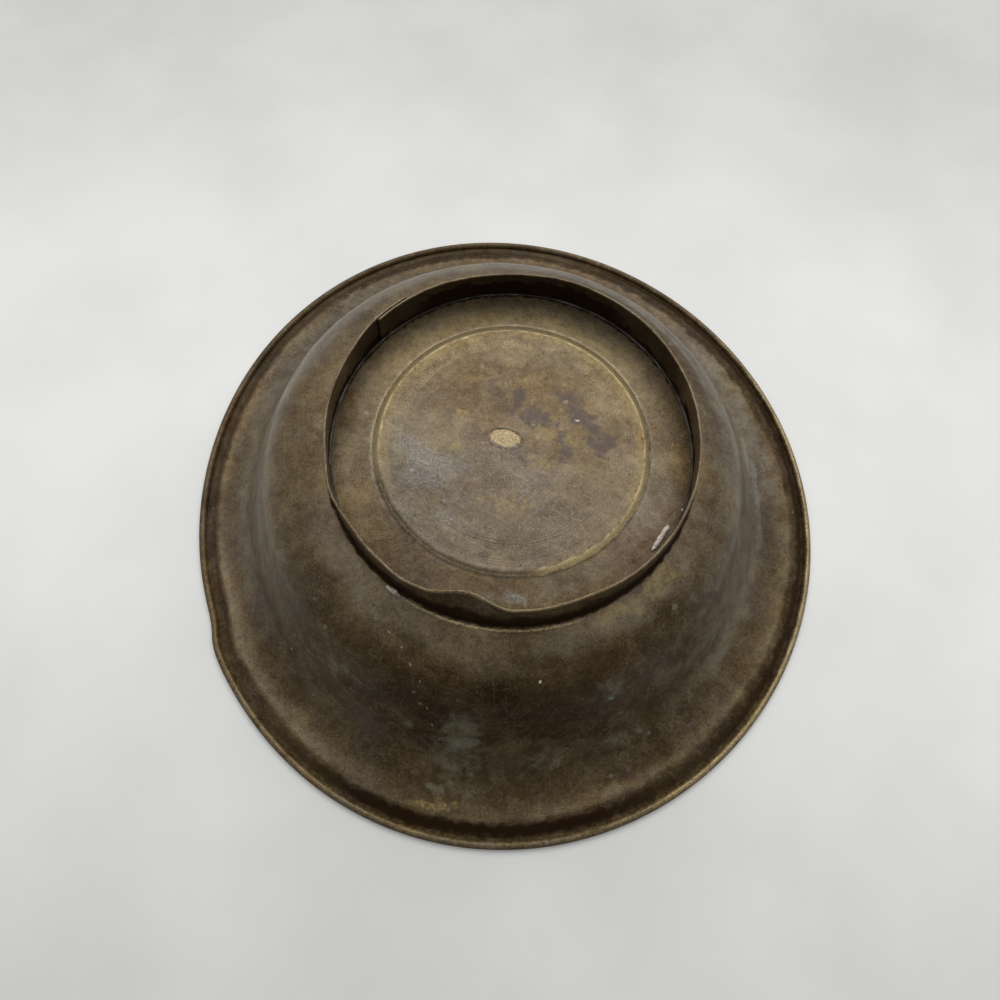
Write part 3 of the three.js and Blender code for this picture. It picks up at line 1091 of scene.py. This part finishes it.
class Value:
    """A node's output, worked with like a number, or like a colour where it is one."""

    def __init__(self, bench: "NodeBench", socket: NodeSocket) -> None:
        """Wraps an output of a node on the bench."""
        self.bench = bench
        self.socket = socket

    def other(self, name: str) -> "Value":
        """Another output of the same node."""
        return Value(self.bench, self.socket.node.outputs[name])

    def __add__(self, term: Feed) -> "Value":
        """The sum of two numbers."""
        return self.bench.math("ADD", self, term)

    def __sub__(self, term: Feed) -> "Value":
        """The difference of two numbers."""
        return self.bench.math("SUBTRACT", self, term)

    def __mul__(self, factor: Feed) -> "Value":
        """The product of two numbers."""
        return self.bench.math("MULTIPLY", self, factor)

    def __truediv__(self, divisor: Feed) -> "Value":
        """The quotient of two numbers."""
        return self.bench.math("DIVIDE", self, divisor)

    def __abs__(self) -> "Value":
        """The number without its sign."""
        return self.bench.math("ABSOLUTE", self)

    def line(self, slope: Feed, start: Feed) -> "Value":
        """The number times a slope, plus a start."""
        return self.bench.math("MULTIPLY_ADD", self, slope, start)

    def below(self, limit: Feed) -> "Value":
        """1 where the number is below a limit, and 0 elsewhere."""
        return self.bench.math("LESS_THAN", self, limit)

    def most(self, *others: Feed) -> "Value":
        """The greatest of this number and others."""
        greatest = self
        for other in others:
            greatest = self.bench.math("MAXIMUM", greatest, other)
        return greatest

    def ease(self, low: Feed, high: Feed, start: Feed = 0.0, end: Feed = 1.0) -> "Value":
        """Eases from start, where the number is low, to end, where it is high."""
        feeds = {0: self, 1: low, 2: high, 3: start, 4: end}
        return self.bench.add("ShaderNodeMapRange", feeds, interpolation_type="SMOOTHSTEP")

    def blend(self, first: Feed, second: Feed) -> "Value":
        """Mixes two numbers, with this number as the share of the second."""
        return self.bench.add("ShaderNodeMix", {0: self, 2: first, 3: second})

    def painted(self, share: Feed, tone: Feed, way: str = "MIX") -> "Value":
        """Lays a share of a tone over this colour, or multiplies it in."""
        return self.bench.tint(share, self, tone, way)


class NodeBench:
    """Places nodes in one tree and joins them."""

    def __init__(self, tree: NodeTree) -> None:
        """Takes the tree to work on."""
        self.tree = tree

    def feed(self, socket: NodeSocket, value: Feed) -> None:
        """Joins a socket to another, or sets its own value.

        Args:
            socket: the input that is fed.
            value: another node's output, a number, a colour or a vector.
        """
        if isinstance(value, Value):
            self.tree.links.new(value.socket, socket)
        elif socket.type == "RGBA" and len(value) == 3:
            socket.default_value = (*value, 1.0)
        else:
            socket.default_value = value

    def add(
        self,
        kind: str,
        feeds: dict[Union[str, int], Feed],
        output: Union[str, int] = 0,
        **settings: object,
    ) -> Value:
        """Adds a node.

        Args:
            kind: Blender's name for the node type.
            feeds: what goes into its inputs, by name or number.
            output: the output that is wanted, by name or number.
            settings: the node's own properties.

        Returns:
            The wanted output.
        """
        node = self.tree.nodes.new(kind)
        for name, value in settings.items():
            setattr(node, name, value)
        for key, value in feeds.items():
            self.feed(node.inputs[key], value)
        return Value(self, node.outputs[output])

    def group(self, effect: NodeTree, **feeds: Feed) -> Value:
        """Places a shared effect, with what goes into its named inputs."""
        return self.add("ShaderNodeGroup", feeds, node_tree=effect)

    def math(self, operation: str, *values: Feed) -> Value:
        """A sum, product or other operation on numbers."""
        return self.add("ShaderNodeMath", dict(enumerate(values)), operation=operation)

    def tint(self, share: Feed, first: Feed, second: Feed, way: str = "MIX") -> Value:
        """Mixes two colours, or multiplies them."""
        feeds = {0: share, 6: first, 7: second}
        return self.add("ShaderNodeMix", feeds, 2, data_type="RGBA", blend_type=way)

    def vector(self, operation: str, *values: Feed) -> Value:
        """An operation on vectors that gives a vector."""
        return self.add("ShaderNodeVectorMath", dict(enumerate(values)), operation=operation)

    def measure(self, operation: str, *values: Feed) -> Value:
        """An operation on vectors that gives a number, such as a length."""
        return self.vector(operation, *values).other("Value")

    def scale(self, vector: Feed, factor: Feed) -> Value:
        """A vector made longer or shorter."""
        feeds = {0: vector, "Scale": factor}
        return self.add("ShaderNodeVectorMath", feeds, operation="SCALE")

    def turn(self, vector: Feed, angle: Feed) -> Value:
        """A vector turned about the axis, by an angle in radians."""
        feeds = {"Vector": vector, "Angle": angle}
        return self.add("ShaderNodeVectorRotate", feeds, rotation_type="Z_AXIS")

    def split(self, vector: Feed) -> tuple[Value, Value, Value]:
        """The three numbers of a vector."""
        x = self.add("ShaderNodeSeparateXYZ", {0: vector})
        return x, x.other("Y"), x.other("Z")

    def join(self, *numbers: Feed) -> Value:
        """A vector from its numbers."""
        return self.add("ShaderNodeCombineXYZ", dict(enumerate(numbers)))

    def noise(
        self, place: Feed, size: Feed, detail: float = 3.0, bend: float = 0.0, keep: float = 0.5
    ) -> Value:
        """A soft random pattern.

        Args:
            place: where it is read, in millimetres.
            size: size of its largest features in millimetres.
            detail: number of finer layers.
            bend: how far it is distorted.
            keep: how much of its strength each finer layer keeps.

        Returns:
            A value around one half.
        """
        scale = self.math("DIVIDE", 1.0, size)
        feeds = {"Vector": place, "Scale": scale, "Detail": detail}
        return self.add("ShaderNodeTexNoise", {**feeds, "Roughness": keep, "Distortion": bend})


class EffectBench(NodeBench):
    """A bench for a shared node group."""

    def __init__(
        self, name: str, inputs: dict[str, Feed], outputs: Sequence[str] = ("Share",)
    ) -> None:
        """Starts the group.

        Args:
            name: name of the group.
            inputs: its inputs with the values that they start with, after Place, which all have.
            outputs: names of its outputs: Colour is a colour, and the others are numbers.
        """
        super().__init__(bpy.data.node_groups.new(name, "ShaderNodeTree"))
        sockets = self.tree.interface
        for title, value in {"Place": ORIGIN, **inputs}.items():
            kind = "NodeSocketFloat"
            if not isinstance(value, float):
                kind = "NodeSocketColor" if len(value) == 4 else "NodeSocketVector"
            socket = sockets.new_socket(title, in_out="INPUT", socket_type=kind)
            socket.default_value = value
        for title in outputs:
            kind = "NodeSocketColor" if title == "Colour" else "NodeSocketFloat"
            sockets.new_socket(title, in_out="OUTPUT", socket_type=kind)
        entry = self.tree.nodes.new("NodeGroupInput")
        self.put = {socket.name: Value(self, socket) for socket in entry.outputs}

    def finish(self, **results: Feed) -> NodeTree:
        """Joins the results to the outputs and gives the group."""
        leave = self.tree.nodes.new("NodeGroupOutput")
        for name, value in results.items():
            self.feed(leave.inputs[name], value)
        return self.tree


class MaterialBench(NodeBench):
    """A bench for a material, which knows the place on the piece in millimetres."""

    def __init__(self, name: str) -> None:
        """Starts a material with its shader."""
        self.material = bpy.data.materials.new(name)
        self.material.use_nodes = True
        super().__init__(self.material.node_tree)
        where = self.add("ShaderNodeTexCoord", {}, "Object")
        self.place = self.scale(where, 1.0 / METRES)

    def bump(self, height: Feed, strength: float) -> Value:
        """Surface directions from a height in millimetres."""
        feeds = {"Distance": METRES, "Strength": strength, "Height": height}
        return self.add("ShaderNodeBump", feeds)

    def finish(self, feeds: dict[str, Feed]) -> Material:
        """Feeds the shader's named inputs and gives the material."""
        shader = self.tree.nodes["Principled BSDF"]
        for name, value in feeds.items():
            self.feed(shader.inputs[name], value)
        return self.material


class SharedEffects:
    """Node groups that several finishes use."""

    def __init__(self) -> None:
        """Builds each effect once."""
        self.clouds = self._clouds()
        self.hairlines = self._hairlines()
        self.specks = self._specks()
        self.fret = self._fret()
        self.long_scratch = self._long_scratch()
        self.old_brass = self._old_brass()

    @staticmethod
    def _clouds() -> NodeTree:
        """Soft patches of one tone on another."""
        bench = EffectBench("clouds", {"Size": 20.0, "Low": 0.4, "High": 0.6})
        put = bench.put
        pattern = bench.noise(put["Place"], put["Size"], 5.0, 0.6)
        return bench.finish(Share=pattern.ease(put["Low"], put["High"]))

    @staticmethod
    def _hairlines() -> NodeTree:
        """Fine scratches that run mostly one way."""
        inputs = {"Turn": 0.0, "Length": 30.0, "Pitch": 1.2, "Width": 0.02}
        bench = EffectBench("hairlines", inputs)
        put = bench.put
        x, y, _ = bench.split(bench.turn(put["Place"], put["Turn"]))
        drawn = bench.join(x / put["Length"], y / put["Pitch"], put["Turn"])
        off = abs(bench.noise(drawn, 1.0, 3.0, 0.3) - 0.5)
        breaks = bench.noise(drawn, 2.3, 2.0).ease(0.42, 0.62)
        return bench.finish(Share=off.ease(0.0, put["Width"], 1.0, 0.0) * breaks)

    @staticmethod
    def _specks() -> NodeTree:
        """Scattered round specks of uneven size."""
        bench = EffectBench("specks", {"Pitch": 3.0, "Amount": 0.3})
        put = bench.put
        feeds = {"Vector": put["Place"], "Scale": bench.math("DIVIDE", 1.0, put["Pitch"])}
        distance = bench.add("ShaderNodeTexVoronoi", feeds, "Distance")
        lot = bench.add("ShaderNodeSeparateColor", {0: distance.other("Color")})
        reach = lot.other("Green").line(0.26, 0.06)
        spot = distance.ease(reach * 0.45, reach, 1.0, 0.0)
        return bench.finish(Share=spot * lot.below(put["Amount"]))

    @staticmethod
    def _fret() -> NodeTree:
        """A worn band of plain square frets round the axis."""
        bench = EffectBench("fret_band", {"Inner": 45.8, "Outer": 50.4, "Count": 58.0})
        put = bench.put
        x, y, _ = bench.split(put["Place"])
        radius = bench.measure("LENGTH", bench.join(x, y))
        turns = bench.math("ARCTAN2", y, x) / (2.0 * math.pi) * put["Count"]
        u = bench.math("FRACT", turns) - 0.5
        v = (radius - put["Inner"]) / (put["Outer"] - put["Inner"]) - 0.5
        square = abs(u).most(abs(v)) * 2.0
        outline = abs(square - 0.80).ease(0.04, 0.13, 1.0, 0.0)
        heart = abs(square - 0.34).ease(0.05, 0.16, 1.0, 0.0)
        lines = (outline * (u + v).below(0.42)).most(heart)
        return bench.finish(Share=lines * abs(v).below(0.5))

    @staticmethod
    def _long_scratch() -> NodeTree:
        """One long scratch, straight as it is seen from above."""
        inputs = {"From": ORIGIN, "To": (1.0, 0.0, 0.0), "Width": 0.3}
        bench = EffectBench("long_scratch", inputs)
        put = bench.put
        level = bench.vector("MULTIPLY", put["Place"], (1.0, 1.0, 0.0))
        shaken = bench.noise(level, 9.0, 2.0).line(2.4, -1.2)
        level = bench.vector("ADD", level, bench.join(shaken, shaken))
        run = bench.vector("SUBTRACT", put["To"], put["From"])
        off = bench.vector("SUBTRACT", level, put["From"])
        dot = bench.measure("DOT_PRODUCT", off, run)
        along = (dot / bench.measure("DOT_PRODUCT", run, run)).ease(0.0, 1.0)
        gap = bench.measure("DISTANCE", off, bench.scale(run, along))
        breaks = bench.noise(level, 2.2, 3.0).ease(0.36, 0.52)
        return bench.finish(Share=gap.ease(0.0, put["Width"], 1.0, 0.0) * breaks)

    def _old_brass(self) -> NodeTree:
        """Brass that has browned with age, with every kind of mark, and painted shade and
        highlights.
        """
        tones = dict.fromkeys(("Brown", "Olive", "Grey", "Bare", "Worn"), (0.2, 0.2, 0.1, 1.0))
        inputs = {**tones, "Scratches": 0.5, **{tarnish.value: 0.0 for tarnish in Tarnish}}
        outputs = ("Colour", "Roughness", "Metallic", "Coat", "Height")
        bench = EffectBench("old_brass", inputs, outputs)
        put = bench.put
        place = put["Place"]

        def clouds(size: float, low: float, high: float, shift: float) -> Value:
            """Patches, read at a place of their own."""
            moved = bench.vector("ADD", place, (shift, shift * 1.7, shift * 0.6))
            return bench.group(self.clouds, Place=moved, Size=size, Low=low, High=high)

        def hairlines(turn: float, length: float, pitch: float, width: float) -> Value:
            """Fine scratches at an angle in degrees."""
            feeds = {"Place": place, "Turn": math.radians(turn)}
            return bench.group(self.hairlines, **feeds, Length=length, Pitch=pitch, Width=width)

        def specks(pitch: float, amount: float, where: Value = place) -> Value:
            """Specks at a distance of about a pitch."""
            return bench.group(self.specks, Place=where, Pitch=pitch, Amount=amount)

        def patchy(mark: Tarnish, low: float, high: float, texture: Value) -> Value:
            """A mark broken up by a texture."""
            share = put[mark.value]
            mixed = share + texture.line(0.5, -0.25)
            return mixed.ease(low, high) * share.ease(0.0, 0.25)

        # Patterns of several sizes
        broad = clouds(48.0, 0.36, 0.64, 0.0)
        dim = clouds(27.0, 0.36, 0.62, 410.0)
        plum = clouds(34.0, 0.44, 0.60, 610.0)
        middling = clouds(13.0, 0.38, 0.64, 120.0)
        small = clouds(3.4, 0.34, 0.66, 260.0)
        fine = bench.noise(place, 0.9, 4.0)
        grain = bench.noise(place, 0.34, 2.0)
        crumbs = bench.noise(place, 1.7, 6.0, 0.2, 0.68)
        torn = bench.noise(place, 8.0, 9.0, 0.35, 0.70)
        drawn = bench.vector("MULTIPLY", bench.turn(place, 0.6), (0.55, 1.5, 0.55))
        streaks = bench.noise(drawn, 2.2, 6.0, 0.3, 0.74)
        lines = hairlines(24.0, 30.0, 1.3, 0.026).most(
            hairlines(-52.0, 22.0, 1.0, 0.024),
            hairlines(80.0, 9.0, 0.7, 0.03),
            hairlines(-12.0, 14.0, 0.8, 0.026),
        )
        nicks = bench.noise(drawn, 0.75, 3.0).ease(0.55, 0.66)
        wander = fine.line(2.6, -1.3)
        chips = specks(5.2, 0.10, bench.vector("ADD", place, bench.join(wander, wander)))
        pits = specks(2.1, 0.22)

        # How strong each mark is
        # Painted shade: darkens the colour below, and takes away the metal's shine and coat
        painted_shade = put["painted_shade"] * middling.blend(1.0, 0.88)
        # A pale streaky deposit, also used as a painted highlight along the shoulder's crest,
        # weaker under painted shade
        film_and_highlight = torn.ease(0.47, 0.60) * streaks.ease(0.42, 0.60) * put["haze_and_highlight"].blend(0.14, 0.95)
        film_and_highlight = film_and_highlight * painted_shade.blend(1.0, 0.55)
        glints = (lines * 0.8).most(specks(0.95, 0.5), nicks) * put["scuffs_and_sheen"]
        dust = specks(1.5, 0.42).most(nicks * 0.8) * torn.ease(0.40, 0.60, 0.05, 0.32)
        violet = patchy(Tarnish.VIOLET, 0.08, 0.75, torn)
        ochre = patchy(Tarnish.OCHRE, 0.15, 0.95, torn) * crumbs.ease(0.42, 0.60, 0.25, 1.0)
        bare = patchy(Tarnish.BARE, 0.15, 0.80, fine)
        # Painted highlight, broken up
        painted_highlight = put["painted_highlight"] * torn.ease(0.40, 0.60, 0.60, 1.0)
        painted_highlight = painted_highlight * crumbs.ease(0.38, 0.60, 0.76, 1.04)
        olive = put["olive"] * torn.ease(0.42, 0.60, 0.50, 1.0)
        olive = olive * crumbs.ease(0.36, 0.58, 0.70, 1.0)
        green_specks = specks(2.6, 0.5) * put["verdigris"]
        verdigris = patchy(Tarnish.VERDIGRIS, 0.3, 0.8, small).most(green_specks)
        # Dark crud, also used as painted shade
        grime_and_shade = patchy(Tarnish.GRIME_AND_SHADE, 0.05, 1.05, torn)
        chalk = patchy(Tarnish.CHALK, 0.3, 0.75, fine)

        # The colour, from the metal up
        leaning = broad.line(0.55, torn.ease(0.38, 0.62, 0.0, 0.45))
        colour = put["Brown"].painted(leaning, put["Olive"])
        colour = colour.painted(middling * 0.30, put["Grey"])
        colour = colour.painted(plum * 0.45, (0.104, 0.079, 0.062))
        # Wear, also used as painted highlights along the shoulder's crest and the flange's ridge
        colour = colour.painted(put["worn"], colour.painted(0.55, put["Worn"]))
        colour = colour.painted(1.0, (0.72, 0.68, 0.66), "MULTIPLY").painted(dim, colour)
        shade = torn.line(1.5, 0.25) + grain.line(2.0, -1.0)
        shade = shade + fine.line(1.1, -0.55) + crumbs.line(1.1, -0.55)
        shade = (shade + small.blend(-0.05, 0.06)).most(0.3)
        colour = colour.painted(1.0, bench.join(shade, shade, shade), "MULTIPLY")
        colour = colour.painted(specks(1.15, 0.34) * 0.34, put["Worn"])
        # Painted shade: a dark brown multiplied in
        colour = colour.painted(painted_shade, colour.painted(1.0, (0.24, 0.165, 0.075), "MULTIPLY"))
        # Deposits, dust, scuffs with their glints, stains and bare brass laid over; the pale
        # deposit and the scuffs' grey also serve as painted highlights
        for share, tone in (
            (film_and_highlight, (0.162, 0.154, 0.114)),
            (dust, (0.215, 0.195, 0.145)),
            (put["scuffs_and_sheen"] * 0.45, (0.150, 0.145, 0.141)),
            (glints * 0.50, (0.34, 0.34, 0.33)),
            (violet * 0.85, (0.064, 0.048, 0.045)),
            (ochre * 0.8, (0.26, 0.19, 0.075)),
            (bare, put["Bare"]),
        ):
            colour = colour.painted(share, tone)
        scratched = lines * put["Scratches"] * 0.5
        colour = colour.painted(scratched, colour.painted(0.45, put["Bare"]))
        # Pale grey painted highlights, then stains, chips, dark crud that is partly painted shade,
        # chalk and pits
        for share, tone in (
            (painted_highlight * 0.7, (0.31, 0.30, 0.265)),
            (olive * 0.85, (0.158, 0.154, 0.104)),
            (verdigris * 0.8, (0.15, 0.22, 0.17)),
            (chips * 0.36, (0.28, 0.26, 0.19)),
            (grime_and_shade, (0.017, 0.008, 0.003)),
            (chalk, (0.55, 0.54, 0.49)),
            (pits * 0.5, (0.03, 0.02, 0.012)),
        ):
            colour = colour.painted(share, tone)

        # Shine and height
        crust = grime_and_shade.most(chalk, verdigris)
        rough = small.blend(0.40, 0.48) + fine.ease(0.3, 0.7, -0.05, 0.05)
        for share, finish in ((bare, 0.36), (put["scuffs_and_sheen"], 0.46), (crust, 0.82)):
            rough = share.blend(rough, finish)
        matt = olive.most(ochre * 0.7).most(put["worn"] * 0.4)
        dulled = painted_shade.most(crust)
        height = small.line(0.012, (fine - 0.5) * 0.018)
        for share, rise in ((lines, -0.012), (pits, -0.03), (crust, 0.05)):
            height = share.line(rise, height)
        return bench.finish(
            Colour=colour,
            Roughness=rough,
            Metallic=dulled.blend(matt.blend(0.72, 0.42), 0.0),
            Coat=dulled.blend(matt.blend(0.32, 0.16), 0.0),
            Height=height,
        )


@dataclass(frozen=True)
class LongScratch:
    """A long scratch between two places in millimetres, as it is seen from above."""

    start: tuple[float, float]
    end: tuple[float, float]
    width: float
    strength: float


BOWL_SCRATCHES = (
    LongScratch((-47, -76), (-36, -86), 0.6, 0.85),
    LongScratch((-36, -86), (-28.6, -97.3), 0.55, 0.85),
    LongScratch((-94.5, -79.8), (-81.9, -86.1), 0.5, 0.8),
    LongScratch((-88, -72), (-82, -86), 0.5, 0.7),
    LongScratch((-26, -106), (-21, -116), 0.5, 0.8),
    LongScratch((-20, -110), (-8, -96), 0.3, 0.45),
    LongScratch((84, -101), (98, -90), 0.4, 0.4),
    LongScratch((-10, 30), (34, 18), 0.3, 0.35),
    LongScratch((28, -39), (46, -22), 0.35, 0.6),
    LongScratch((-52, 12), (-44, 30), 0.3, 0.5),
)


@dataclass(frozen=True)
class OldBrass:
    """Browned brass, with its marks read from the mesh."""

    name: str
    brown: Triple = (0.124, 0.077, 0.035)
    olive: Triple = (0.142, 0.106, 0.050)
    grey: Triple = (0.145, 0.117, 0.080)
    bare: Triple = (0.50, 0.39, 0.20)
    worn: Triple = (0.210, 0.165, 0.098)
    scratch_tone: Triple = (0.36, 0.33, 0.26)
    scratches: float = 0.45
    fret_strength: float = 0.0
    fret_cut: float = -0.010
    long_scratches: tuple[LongScratch, ...] = ()

    def material(self, effects: SharedEffects) -> Material:
        """Makes the finish.

        Args:
            effects: the shared node groups.

        Returns:
            The material.
        """
        bench = MaterialBench(self.name)
        place = bench.place
        feeds = {"Brown": self.brown, "Olive": self.olive, "Grey": self.grey, "Bare": self.bare}
        feeds |= {"Worn": self.worn, "Scratches": self.scratches}
        for tarnish in Tarnish:
            feeds[tarnish.value] = bench.add(
                "ShaderNodeAttribute", {}, "Fac", attribute_name=tarnish.value
            )
        colour = bench.group(effects.old_brass, Place=place, **feeds)
        height = colour.other("Height")
        shine = {name: colour.other(name) for name in ("Roughness", "Metallic")}
        shine["Coat Weight"] = colour.other("Coat")
        if self.fret_strength:
            fret = bench.group(effects.fret, Place=place)
            worn = bench.group(effects.clouds, Place=place, Size=8.0, Low=0.36, High=0.56)
            _, y, z = bench.split(place)
            upper = z.ease(62.7, 62.8) * y.ease(-20.0, 30.0, 0.15, 1.0)
            shown = fret * worn * upper
            colour = colour.painted(shown * self.fret_strength, self.bare)
            height = shown.line(self.fret_cut, height)
        for scratch in self.long_scratches:
            ends = {"From": (*scratch.start, 0.0), "To": (*scratch.end, 0.0)}
            line = bench.group(effects.long_scratch, Place=place, **ends, Width=scratch.width)
            colour = colour.painted(line * scratch.strength, self.scratch_tone)
            height = line.line(-0.02, height)
        bump = bench.bump(height, 1.0)
        fixed = {"Specular IOR Level": 0.05, "Coat Roughness": 0.32, "Coat IOR": 1.3}
        return bench.finish({"Base Color": colour, **shine, "Normal": bump, **fixed})


@dataclass(frozen=True)
class DullSolder:
    """Grey soft solder, gone dull."""

    name: str
    light: Triple = (0.11, 0.11, 0.10)
    dark: Triple = (0.018, 0.016, 0.011)
    cover: float = 0.5
    cover_fade: float = 0.12

    def material(self, effects: SharedEffects) -> Material:
        """Makes the finish.

        Args:
            effects: the shared node groups.

        Returns:
            The material.
        """
        bench = MaterialBench(self.name)
        place = bench.place
        ends = {"Low": self.cover - self.cover_fade, "High": self.cover + self.cover_fade}
        share = bench.group(effects.clouds, Place=place, Size=7.0, **ends)
        fine = bench.noise(place, 0.7, 3.0)
        pitted = bench.group(effects.specks, Place=place, Pitch=0.8, Amount=0.4)
        colour = bench.tint(share, self.light, self.dark)
        return bench.finish(
            {
                "Base Color": colour.painted(pitted * 0.6, self.dark),
                "Roughness": fine.ease(0.3, 0.7, 0.45, 0.75),
                "Metallic": share.blend(0.3, 0.1),
                "Normal": bench.bump(fine.line(0.10, pitted * -0.08), 0.8),
            }
        )


# The studio


@dataclass
class Studio:
    """Pale floor with painted shade, soft light and the camera; lengths are metres, but place is
    millimetres.
    """

    floor_half: float = 3.0
    floor_drop: float = 0.00002
    floor_colour: Triple = (0.84, 0.845, 0.82)
    # How dark the floor's painted shade gets at its far and near ends
    floor_painted_shade: float = 0.64
    focal_pixels: float = 722.0
    frame_pixels: float = 1000.0
    sensor: float = 36.0
    place: Triple = (-3.28, -132.44, 331.28)
    pitch: float = 68.328
    roll: float = 4.167
    near_level: float = 0.24
    far_level: float = 0.88
    seen_level: float = 0.93
    lamp_place: Triple = (0.05, 0.88, 1.25)
    lamp_size: float = 1.3
    lamp_watts: float = 10.5

    def floor(self) -> None:
        """Makes the floor, with painted shade that darkens it towards its far and near ends."""
        half = self.floor_half
        mesh = bpy.data.meshes.new("floor")
        corners = ((-half, -half), (half, -half), (half, half), (-half, half))
        mesh.from_pydata([(x, y, -self.floor_drop) for x, y in corners], [], [(0, 1, 2, 3)])
        piece = add_object("floor", mesh)
        bench = MaterialBench("pale_floor")
        # Painted shade: the floor darkens from a line through the basin towards its far and near
        # ends, in place of the light falling off; broad patches lighten it a little
        reach = abs(bench.split(bench.place)[1] - 10.0)
        patches = bench.noise(bench.place, 90.0).ease(0.3, 0.7, 0.0, 0.2)
        tone = reach.ease(20.0, 380.0, 0.8, 0.0) + patches
        dim = tuple(self.floor_painted_shade * c for c in self.floor_colour)
        colour = bench.tint(tone, dim, self.floor_colour)
        feeds = {"Base Color": colour, "Roughness": 0.45, "Specular IOR Level": 0.3}
        mesh.materials.append(bench.finish(feeds))

    def camera(self) -> None:
        """Places the camera at the angle of the photograph."""
        e = math.radians(self.pitch)
        r = math.radians(self.roll)
        forward = Vector((0.0, math.cos(e), -math.sin(e)))
        up = Vector((0.0, math.sin(e), math.cos(e)))
        right = Vector((1.0, 0.0, 0.0))
        across = math.cos(r) * right + math.sin(r) * up
        above = -math.sin(r) * right + math.cos(r) * up
        data = bpy.data.cameras.new("camera")
        data.sensor_width = self.sensor
        data.lens = self.focal_pixels / self.frame_pixels * self.sensor
        data.clip_start = 0.01
        data.clip_end = 50.0
        camera = add_object("camera", data)
        turned_to = Matrix((across, above, -forward)).transposed().to_4x4()
        camera.matrix_world = Matrix.Translation(Vector(self.place) * METRES) @ turned_to
        bpy.context.scene.camera = camera

    def light(self) -> None:
        """Sets the world and hangs a soft square lamp that faces the basin."""
        world = bpy.data.worlds.new("soft_room")
        bpy.context.scene.world = world
        world.use_nodes = True
        bench = NodeBench(world.node_tree)
        back = world.node_tree.nodes["Background"]
        direction = bench.add("ShaderNodeTexCoord", {}, "Generated")
        far = bench.measure("DOT_PRODUCT", direction, (0.0, 0.96, 0.28))
        level = far.ease(-0.9, 0.75, self.near_level, self.far_level)
        seen = bench.add("ShaderNodeLightPath", {}, "Is Camera Ray")
        back.inputs["Color"].default_value = (1.0, 1.0, 1.0, 1.0)
        bench.feed(back.inputs["Strength"], seen.blend(level, self.seen_level))
        data = bpy.data.lights.new("far_softbox", "AREA")
        data.size = self.lamp_size
        data.energy = self.lamp_watts
        lamp = add_object("far_softbox", data)
        away = Vector(self.lamp_place)
        facing = away.to_track_quat("Z", "Y").to_matrix().to_4x4()
        lamp.matrix_world = Matrix.Translation(away) @ facing

    def build(self) -> None:
        """Makes the whole studio."""
        self.floor()
        self.camera()
        self.light()
        bpy.context.scene.view_settings.view_transform = "Standard"


def dress(piece: Object, finish: Material) -> None:
    """Gives a piece its finish and logs it."""
    piece.data.materials.append(finish)
    LOG.info("%s: %d corners", piece.name, len(piece.data.vertices))


def main() -> None:
    """Builds the pieces and the studio in order."""
    logging.basicConfig(level=logging.INFO, format="%(name)s: %(message)s")
    effects = SharedEffects()
    bowl_brass = OldBrass("bowl_brass", fret_strength=0.20, long_scratches=BOWL_SCRATCHES)
    dress(BowlBody().build(), bowl_brass.material(effects))
    dress(FootRing().build(), OldBrass("foot_brass").material(effects))
    solder = Solder()
    dull = DullSolder("solder_gone_dark", cover=0.46).material(effects)
    pale = DullSolder("solder_left_pale", (0.64, 0.57, 0.49), (0.15, 0.105, 0.075), 0.56)
    pale = pale.material(effects)
    dress(solder.seam(), dull)
    for lump in solder.lumps:
        dress(solder.lump(lump), pale)
    wire = frame["nodes"]["rim_wire"]
    wire.data.materials.clear()
    wire_metal = DullSolder("rim_wire_metal", (0.16, 0.13, 0.09), (0.03, 0.022, 0.014))
    dress(wire, wire_metal.material(effects))
    Studio().build()


if __name__ == "__main__":
    main()
